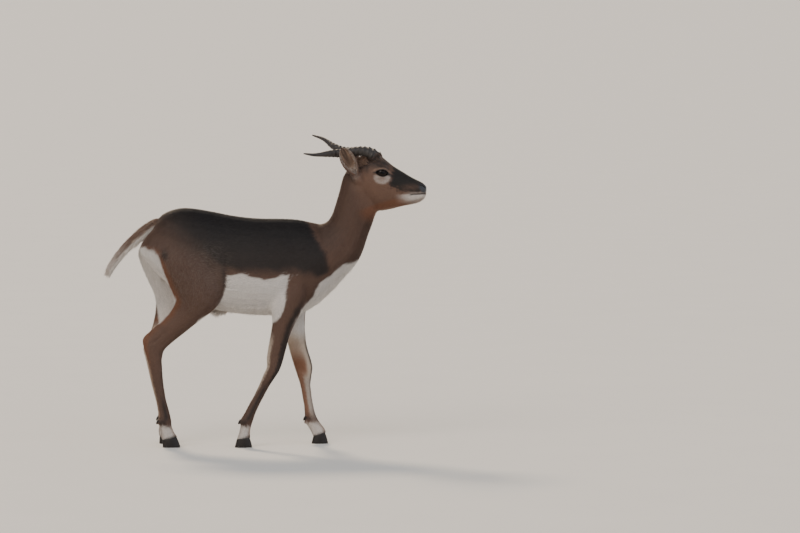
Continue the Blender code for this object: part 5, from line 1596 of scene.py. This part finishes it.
def claw(name, top, heel, toe, y):
    xa, za, xb, zb = top
    rings = []
    for share in np.concatenate(([-0.10], np.linspace(0, 0.94, 25), [1.0])):
        edge = 0.90 if share < 0 else 1.0 if share < 1 else 0.94
        growth = 1 + 0.011 * math.sin(share * 31) + 0.06 * math.sin(math.pi * min(share, 1))
        ring = []
        for j in range(CLAW_SIDES):
            angle = 2 * math.pi * j / CLAW_SIDES
            along, out = math.cos(angle), math.sin(angle)
            taper = 1 - CLAW_POINT * max(along, 0) ** 2.4 - CLAW_TAPER * (along + 1) / 2
            reach = CLAW_TOP[along > 0] * along
            x = ((1 - share) * ((xa + xb) / 2 + (xa - xb) * reach * edge)
                 + share * ((heel + toe) / 2 + (toe - heel) / 2 * along * edge))
            x += 0.9 * MM * math.sin(math.pi * max(share, 0)) * max(along, 0)
            z = max((1 - share) * ((za + zb) / 2 + (za - zb) * reach), 0)
            spread = CLAW_WIDTH / 2 * (0.94 + 0.06 * share) * growth * edge
            ring.append(Vector((x, y + spread * out * taper, z)) + step)
        rings.append(ring)
    made = skin_rings(name, rings)
    made.data.set_sharp_from_angle(angle=math.radians(50))
    return made


# %% The hoof's material: black horn
# Dense keratin worn by grass: satin, almost black, with scratches down the wall.
hoof_finish, tree, shader = new_material("black_hoof_horn")
place = add(tree, "ShaderNodeTexCoord")
scratch = add(tree, "ShaderNodeMapping", {"Vector": place.outputs["Object"]},
              Scale=(1 / (1.0 * MM), 1 / (1.0 * MM), 1 / (8 * MM)))
scratches = add(tree, "ShaderNodeTexNoise", {"Vector": scratch.outputs["Vector"]}, Scale=1.0,
                Detail=2.0)
worn = two_tones(tree, scratches.outputs["Fac"], "0a0807", "2a231f")
bump = add(tree, "ShaderNodeBump", {"Height": scratches.outputs["Fac"]}, Strength=0.3,
           Distance=0.3 * MM)
tree.links.new(worn, shader.inputs["Base Color"])
tree.links.new(bump.outputs[0], shader.inputs["Normal"])
set_inputs(shader, Roughness=0.48, Specular_IOR_Level=0.30, IOR=1.55)
for place_name, (top, heel, toe) in CLAWS.items():
    outer = 1 if place_name.endswith("left") else -1
    for word, side in (("outer", outer), ("inner", -outer)):
        made = claw(f"hoof_{place_name}_{word}", top, heel, toe,
                    outer * FOOT_MIDDLE + side * CLAW_APART)
        dress(made, hoof_finish, "hoof", f"{place_name}_{word}_claw")

# %% [markdown]
# ## Ears
#
# An ear is a thin leaf of skin rolled into a cup, narrow and closed at the root and open above.
# It is lofted from arcs that get wider and then shorter toward the tip.

# %% Ear cups
EAR_OPEN = (0.45, 1.0, -0.10)
EAR = (     # share of the length, half width, half depth, half the wrap in degrees, thickness
    (0.00, 0.0135, 0.0130, 165, 0.0110), (0.10, 0.0160, 0.0145, 158, 0.0100),
    (0.22, 0.0205, 0.0160, 142, 0.0045), (0.38, 0.0245, 0.0165, 122, 0.0028),
    (0.55, 0.0255, 0.0150, 108, 0.0024), (0.72, 0.0230, 0.0120, 98, 0.0022),
    (0.86, 0.0170, 0.0080, 90, 0.0020), (0.95, 0.0098, 0.0045, 85, 0.0018),
    (1.00, 0.0030, 0.0022, 80, 0.0012),
)


def ear(side, name):
    """The cup of one ear, with how far each point is inside, along and toward the rim."""
    base, tip = mirrored(EAR_BASE, side), mirrored(EAR_TIPS[side], side)
    axis = (tip - base).normalized()
    opening = mirrored(EAR_OPEN, side)
    opening = (opening - axis * opening.dot(axis)).normalized()
    across = axis.cross(opening)
    half = 20
    rings, marks = [], []
    for share, wide, deep, wrap, skin_depth in smooth_rows(EAR, 5):
        middle = base.lerp(tip, share)
        outer = [math.radians(wrap) * (2 * k / half - 1) for k in range(half + 1)]
        ring = []
        for angle in outer:
            ring.append(middle + across * wide * math.sin(angle)
                        - opening * deep * math.cos(angle))
            marks.append((0, share, abs(angle) / math.radians(wrap)))
        for angle in reversed(outer):
            inside = angle * 0.96
            ring.append(middle + across * (wide - skin_depth) * math.sin(inside)
                        - opening * (deep - skin_depth) * math.cos(inside))
            marks.append((1, share, abs(angle) / math.radians(wrap)))
        rings.append([head_to_frame @ p for p in ring])
    marks += [(0, 0, 0), (0, 1, 0)]     # the middle points that close the two ends
    return skin_rings(name, rings), np.array(marks, float), head_to_frame.to_3x3() @ axis


def ear_colour(marks):
    """Brown behind, pale inside with painted shade deep in the middle of the cup, and a dark tip."""
    inside, along, rim = marks.T
    back = mix(even("brown", rim), "dark", step_up(along, 0.6, 1.0) * 0.7)
    streaks = 0.5 + 0.5 * np.sin(rim * 17 + 2.5 * np.sin(along * 5))
    inner = even("fawn", rim)
    inner = mix(inner, "brown", streaks * step_up(along, 0.15, 0.5) * 0.7)
    inner = mix(inner, "dark", streaks * step_up(along, 0.55, 0.9) * 0.7)
    # Painted shade: darker deep in the middle of the cup, farthest from its rim.
    inner = mix(inner, "dark", under(rim, 0.45, 0.35) * step_up(along, 0.1, 0.4) * 0.55)
    inner = mix(inner, "ring", step_up(rim, 0.78, 0.95) * 0.7)
    inner = mix(inner, "ring", under(along, 0.30, 0.25) * 0.6)
    return mix(back, inner, inside[:, None])


# %% Ears with their own short hair
EAR_TUFTS, EAR_LOCKS = 5200, 420


def ear_coat(side, word, made, marks, axis, line):
    """Short blades over one ear and longer locks inside its rim."""
    own_points, own_normals = points_of(made), normals_of(made)
    made.data.calc_loop_triangles()
    faces = values_of(made.data.loop_triangles, "vertices", 3, np.int32)
    own_corners = own_points[faces]
    own_areas = np.linalg.norm(np.cross(own_corners[:, 1] - own_corners[:, 0],
                                        own_corners[:, 2] - own_corners[:, 0]), axis=1)
    chosen = draw.choice(len(faces), EAR_TUFTS, p=own_areas / own_areas.sum())
    weights = corner_weights(EAR_TUFTS)
    roots, own = (blend_at(values, chosen, weights, faces) for values in (own_points, marks))
    outward = unit(blend_at(own_normals, chosen, weights, faces))
    ahead = axis[None] + jitter(EAR_TUFTS, 0.2)
    ahead = unit(ahead - outward * (ahead * outward).sum(axis=1)[:, None])
    colour = ear_colour(own) * draw.normal(1.0, 0.12, EAR_TUFTS)[:, None]
    length = np.where(own[:, 0] > 0.5, 7.5, 5.0) * MM * draw.uniform(0.7, 1.1, EAR_TUFTS)
    length *= 1 - 0.45 * step_up(own[:, 1], 0.8, 1.0)
    tree = BVHTree.FromPolygons([tuple(p) for p in own_points], faces.tolist())
    grow(f"coat_ear_{word}", tree, roots, outward, ahead, length, np.full(EAR_TUFTS, 1.5 * MM),
         np.full(EAR_TUFTS, 1.0 * MM), (colour * 0.8, colour * 1.1), line, "ear_skin")
    inside, along, rim = marks[faces].mean(axis=1).T
    chosen = draw.choice(np.flatnonzero((inside > 0.5) & (rim > 0.5) & (along > 0.08)
                                        & (along < 0.72)), EAR_LOCKS)
    roots, out = (values[faces[chosen]].mean(axis=1) for values in (own_points, own_normals))
    out = unit(out)
    opening = head_rotation @ np.array(mirrored(EAR_OPEN, side))
    lines = curves(roots, axis * 0.9 + out * 0.5 + jitter(EAR_LOCKS, 0.15),
                   axis + out * 0.25 + opening * 0.15 + jitter(EAR_LOCKS, 0.15),
                   draw.uniform(9, 18, EAR_LOCKS) * MM)
    strands(f"coat_ear_inside_{word}", lines, out, (0.6, 1.0), tones(HAIR["fawn"]),
            tones(HAIR["ring"]), line, "ear_skin")


for side, word in SIDES:
    made, marks, axis = ear(side, f"ear_cup_{word}")
    keep_colour(made, "coat", ear_colour(marks))
    keep_number(made, "bare", np.zeros(len(marks)))
    keep_number(made, "hang", np.full(len(marks), 0.6))
    dress(made, skin_finish, "ear_skin", f"ear_{word}")
    axis, ends = np.array(axis), [mirrored(p, side) for p in (EAR_BASE, EAR_TIPS[side])]
    ear_coat(side, word, made, marks, axis, np.array([head_to_frame @ p for p in ends]))
    base = np.array(ends[0]) * 0.88 + np.array(ends[1]) * 0.12
    gap = np.linalg.norm(square - base, axis=1)
    around = (gap > 0.0145) & (gap < 0.0225) & (square[:, 1] * side > 0.01)
    roots, out, lie = scatter(EAR_LOCKS, around)
    lines = curves(roots, axis * 0.9 + lie * 0.5 + out * 0.5 + jitter(EAR_LOCKS, 0.10),
                   axis + lie * 0.6 - out * 0.10 + jitter(EAR_LOCKS, 0.10),
                   draw.uniform(6, 10, EAR_LOCKS) * MM)
    colour = mix(coat_colour(roots, out), "brown", 0.4)
    strands(f"coat_ear_root_{word}", lines, out, (0.8, 1.3), colour, tones(colour, 0.12, 1.3),
            HEAD_AXIS, "face_coat")

# %% [markdown]
# ## Eyes
#
# The eye is large, dark and wet, with a pupil that is a bar lying level. The ball is smooth and
# glossy, since the shine of the cornea is what makes an eye look alive. The lids are a thick dark
# rim, lofted outward in rings that end under the skin.

# %% Eyeballs
IRIS, PUPIL_WIDE, PUPIL_TALL = 0.0155, 0.0085, 0.0042      # half sizes
CORNEA_RISE = 0.018                                         # share of the ball's radius
EYE_RINGS, EYE_SIDES = 64, 96


def eye_axes(side):
    return [mirrored(v, side) for v in (EYE_PLACE, EYE_LOOK, EYE_ALONG, EYE_HIGH)]


def eyeball(side, name):
    middle, look, along, high = eye_axes(side)
    rings, colours = [], []
    for i in range(1, EYE_RINGS):
        tilt = math.pi * i / EYE_RINGS
        ring = []
        for j in range(EYE_SIDES):
            angle = 2 * math.pi * j / EYE_SIDES
            u, v = (math.sin(tilt) * turn(angle) * EYE_RADIUS for turn in (math.cos, math.sin))
            bulge = 1 + CORNEA_RISE * max(0.0, math.cos(tilt) - 0.5)
            ring.append(head_to_frame @ (middle + (along * u + high * v
                                                  + look * EYE_RADIUS * math.cos(tilt)) * bulge))
            edge = math.hypot(u, v) / IRIS
            tone = linear("150c08") * (0.55 + 0.9 * (1 - edge) if edge < 1 else 0.25)
            tone = tone * (1 + 0.35 * noise.noise(Vector((angle * 7, edge * 2, side))))
            if math.cos(tilt) < 0:
                tone = linear("1c120d")
            in_pupil = (u / PUPIL_WIDE) ** 2 + (v / PUPIL_TALL) ** 2 < 1
            colours.append(linear("050404") if in_pupil else tone)
        rings.append(ring)
    made = skin_rings(name, rings)
    keep_colour(made, "coat", np.vstack((colours, [colours[0], colours[-1]])).clip(0, 1))
    return made


# %% The eye's material: wet cornea over a dark iris
# Water's index is 1.33 and the cornea's 1.38; its film of tears is almost mirror smooth.
eye_finish, tree, shader = new_material("wet_dark_eye")
iris = add(tree, "ShaderNodeAttribute", attribute_name="coat")
tree.links.new(iris.outputs["Color"], shader.inputs["Base Color"])
set_inputs(shader, Roughness=0.05, IOR=1.38, Specular_IOR_Level=0.24)
for side, word in SIDES:
    dress(eyeball(side, f"eyeball_{word}"), eye_finish, "eye", f"eye_{word}")

# %% Lids
LID_RINGS = (   # scale of the almond, height over the skin (mm), None for the ball itself
    (0.97, None), (1.01, -1.3), (1.04, 0.1), (1.09, 0.9), (1.16, 1.0), (1.27, 0.4), (1.42, -0.7))
LID_SIDES, LID_PROBE = 72, 0.05         # points round a ring, and how far off the skin is felt for


def lids(side, name):
    middle, look, along, high = eye_axes(side)
    frame_look = head_to_frame.to_3x3() @ look
    rings, marks = [], []
    for scale, over in LID_RINGS:
        ring = []
        for j in range(LID_SIDES):
            angle = 2 * math.pi * j / LID_SIDES
            reach, lift = math.cos(angle), math.sin(angle)
            shape = (along * reach * LID_LONG
                     + high * LID_HIGH * lift * (1 - ALMOND * reach * reach))
            if over is None:
                square_depth = EYE_RADIUS ** 2 - (shape * scale).length_squared
                depth = math.sqrt(max(square_depth, 0)) - 0.5 * MM
            else:
                probe = head_to_frame @ (middle + shape * max(scale, 1.16) + look * LID_PROBE)
                hit = skin_tree.ray_cast(probe, -frame_look)[0]
                depth = LID_PROBE - (hit - probe).length + over * MM
            ring.append(head_to_frame @ (middle + shape * scale + look * depth))
            marks.append(scale)
        rings.append(ring)
    made = mesh_piece(name, [p for ring in rings for p in ring], ring_faces(len(rings), LID_SIDES))
    face_outward(made, closed=False)
    places = points_of(made)
    outer = np.array([tuple(skin_tree.find_nearest(p)[1]) for p in places])
    around = coat_colour(places, outer)
    rim = step_up(np.array(marks), 1.22, 1.06)[:, None]
    keep_colour(made, "coat", mix(around, linear("0f0c0a"), rim))
    keep_number(made, "bare", rim.ravel())
    keep_number(made, "hang", np.zeros(len(places)))
    return made


for side, word in SIDES:
    dress(lids(side, f"lids_{word}"), skin_finish, "face_coat")

# %% Lashes and whiskers
count = 60
for side, word in SIDES:
    middle, look, along, high = (np.array(v) for v in eye_axes(side))
    angle = draw.uniform(0.10, 0.92, count) * math.pi
    reach, lift = np.cos(angle)[:, None], np.sin(angle)[:, None]
    lid = along * reach * LID_LONG + high * LID_HIGH * lift * (1 - ALMOND * reach ** 2)
    lid *= 1.10
    depth = np.sqrt(np.maximum((EYE_RADIUS + 0.002) ** 2 - (lid ** 2).sum(axis=1), 0.0))[:, None]
    ahead = along * reach * 0.3
    lines = curves(middle + lid + look * depth,
                   look * 0.8 + high * 0.25 + ahead + jitter(count, 0.08),
                   look * 0.6 - high * 0.45 + ahead + jitter(count, 0.08),
                   draw.uniform(5, 8, count) * MM)
    lines = lines @ head_rotation.T + np.array(head_to_frame.translation)
    strands(f"coat_lashes_{word}", lines, np.tile(head_rotation @ high, (count, 1)), 0.55,
            tones(HAIR["black"]), tones(HAIR["black"]), HEAD_AXIS, "face_coat")

count = 46
muzzle_x, _, muzzle_z = side_view(square).T
muzzle = ((muzzle_x > 0.505) & (muzzle_z < 0.842)) | ((muzzle_x > 0.515) & (facing[:, 2] > 0.7))
roots, out, lie = scatter(count, muzzle & (square[:, 0] > 0.47))
lines = curves(roots, out + np.array((0.4, 0, 0.0)),
               out * 0.8 + np.array((0.4, 0, -0.2)) + jitter(count, 0.1),
               draw.uniform(8, 15, count) * MM)
strands("coat_whiskers", lines, out, 0.35, tones(HAIR["cream"]), tones(HAIR["white"]), HEAD_AXIS,
        "face_coat")

# %% [markdown]
# ## Mouth, nostrils and dewclaws
#
# The nostril is a slit that curls down and forward, and the lips meet in one dark line that runs
# round the muzzle. A narrow dark cord laid in its groove is painted shade: it stands for the dark of
# the hollow, and it stays a closed body. The dewclaws are two small blunt lofts of the same black
# horn as the hooves.

# %% Cords of painted shade in the muzzle
def on_muzzle(x, z, side):
    """The skin's place behind a point of the side view, on the right or mirrored to the left."""
    hit = skin_tree.ray_cast(Vector((x, -0.2, z)) + step, Vector((0, 1, 0)))[0]
    if side > 0:
        hit = head_to_frame @ mirrored(head_to_frame.inverted() @ hit, -1)
    return skin_tree.find_nearest(hit)[0]


def cord(name, line, radii, sunk):
    """A closed round cord of painted shade along a line of places on the skin, sunk by part of its
    radius.
    """
    line = smooth_rows([tuple(p) for p in line], 4)
    radii = np.interp(np.linspace(0, 1, len(line)), np.linspace(0, 1, len(radii)), radii)
    rings = []
    for index, radius in enumerate(radii):
        ahead = Vector(line[min(index + 1, len(line) - 1)]) - Vector(line[max(index - 1, 0)])
        middle = Vector(line[index])
        middle -= skin_tree.find_nearest(middle)[1] * radius * sunk * MM
        up = Vector((0, 0, 1))
        up = (up - ahead * up.dot(ahead) / ahead.length_squared).normalized()
        across = ahead.normalized().cross(up)
        turns = [k * math.pi / 6 for k in range(12)]
        rings.append([middle + (across * math.cos(t) + up * math.sin(t)) * radius * MM
                      for t in turns])
    made = skin_rings(name, rings)
    dress(made, hollow_shade_finish, "face_coat")
    print(name, len(made.data.polygons), "faces")


# Painted shade: a near-black, fairly rough finish for the cords that stand for the dark of the
# nostrils and of the mouth's line.
hollow_shade_finish, tree, shader = new_material("painted_hollow_shade")
set_inputs(shader, Base_Color=(*linear("080706"), 1), Roughness=0.65)
for side, word in SIDES:
    cord(f"nostril_{word}", [on_muzzle(x, z, side) for x, z in NOSTRIL],
         (0.6, 2.6, 3.4, 3.0, 0.9), 0.62)
lip_x = np.linspace(MOUTH[0][0], MOUTH[-1][0], 8)
lip_z = np.interp(lip_x, *np.array(MOUTH).T)
sides = {side: [on_muzzle(x, z, side) for x, z in zip(lip_x, lip_z)] for side in (-1, 1)}
ends = [head_to_frame.inverted() @ sides[side][-1] for side in (-1, 1)]
toward = head_to_frame.to_3x3() @ Vector((-1, 0, 0))
front = []
for share in np.linspace(0, 1, 9)[1:-1]:
    place = ends[0].lerp(ends[1], share)
    front.append(skin_tree.ray_cast(head_to_frame @ Vector((0.62, place.y, place.z)), toward)[0])
cord("mouth_line", sides[-1] + front + sides[1][::-1],
     (0.3, 1.1, 1.3, 1.2, 1.2, 1.2, 1.3, 1.1, 0.3), 0.55)

# %% Dewclaws
# Two small blunt claws hang behind each fetlock.
DEWCLAW_HEIGHT = 0.087
DEWCLAW = ((0, 5.2), (0.35, 5.6), (0.7, 4.6), (0.92, 2.8), (1.0, 1.0))  # share of length, mm
for name, line in legs.items():
    x, y, half = leg_at(line, DEWCLAW_HEIGHT, 0, 1, 3)
    for side, word in ((-1, "a"), (1, "b")):
        start = Vector((x - half + 0.0045, y + side * 0.0085, DEWCLAW_HEIGHT + 0.004))
        tip = start + Vector((-0.0075, side * 0.0015, -0.0130))
        ahead = (tip - start).normalized()
        across, up = section_frame(ahead)
        rings = [[start.lerp(tip, share) + (across * math.cos(k * math.pi / 8)
                                            + up * math.sin(k * math.pi / 8) * 0.8) * radius * MM
                  for k in range(16)] for share, radius in DEWCLAW]
        dress(skin_rings(f"dewclaw_{name}_{word}", rings), hoof_finish, "hoof")

# %% [markdown]
# ## Floor, light and camera
#
# The photograph was taken from far off, nearly level with the animal. A long lens keeps its flat
# look. The studio is plain: a wide pale floor, a soft key from the camera's side, a weaker fill
# and a warm light from behind that draws the bright edge along the back, as the low sun did.

# %% Floor
FLOOR = 2000                    # metres from the middle to each side, so that it has no near edge
floor = mesh_piece("floor", [(x * FLOOR, y * FLOOR, 0)
                             for x, y in ((-1, -1), (1, -1), (1, 1), (-1, 1))], [(0, 1, 2, 3)])
floor_finish, tree, shader = new_material("matt_painted_floor")
place = add(tree, "ShaderNodeTexCoord")
mottle = add(tree, "ShaderNodeTexNoise", {"Vector": place.outputs["Object"]}, Scale=3.0,
             Detail=4.0)
paint = two_tones(tree, mottle.outputs["Fac"], "d8d6d1", "dddbd6")
tree.links.new(paint, shader.inputs["Base Color"])
set_inputs(shader, Roughness=0.85)
floor.data.materials.append(floor_finish)

# %% Lights
world = bpy.data.worlds.new("studio")
world.use_nodes = True
set_inputs(world.node_tree.nodes["Background"], Color=(*linear("e4e8ee"), 1), Strength=0.62)
bpy.context.scene.world = world


def soft_sun(name, toward, wide, power, colour):
    """Even light from a broad source far away, so that the whole floor is lit alike."""
    lamp = bpy.data.lights.new(name, "SUN")
    lamp.angle, lamp.energy, lamp.color = math.radians(wide), power, linear(colour)
    made = bpy.data.objects.new(name, lamp)
    made.rotation_euler = Vector(toward).to_track_quat("Z", "Y").to_euler()
    bpy.context.scene.collection.objects.link(made)


soft_sun("key", (-0.5, -1.0, 0.8), 40, 1.5, "fff4e8")
soft_sun("fill", (1.0, -0.9, 0.5), 60, 0.6, "e6eeff")
soft_sun("rim", (-0.35, 1.0, 0.85), 12, 2.6, "ffe6c6")

# %% Camera
PIXEL, FRAME_WIDE = 0.00335, 800        # metres at the animal for one pixel of the photograph
AIM = Vector((0.4506, 0, 0.6013))
FAR, RISE = 15.0, math.radians(3.5)
SENSOR = 36
lens_data = bpy.data.cameras.new("camera")
lens_data.sensor_width = SENSOR
lens_data.lens = SENSOR * FAR / (PIXEL * FRAME_WIDE)
camera = bpy.data.objects.new("camera", lens_data)
camera.location = step + AIM + FAR * Vector((0, -math.cos(RISE), math.sin(RISE)))
camera.rotation_euler = (math.pi / 2 - RISE, 0, 0)
bpy.context.scene.collection.objects.link(camera)
bpy.context.scene.camera = camera

# %% The tail's coat stands for the tail
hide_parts("tail")

# %% The size of the dressed model
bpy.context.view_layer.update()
coat = [o for o in bpy.data.objects if o.name.startswith("coat_")]
print(sum(len(o.data.polygons) for o in coat), "triangles of coat in", len(coat), "pieces")
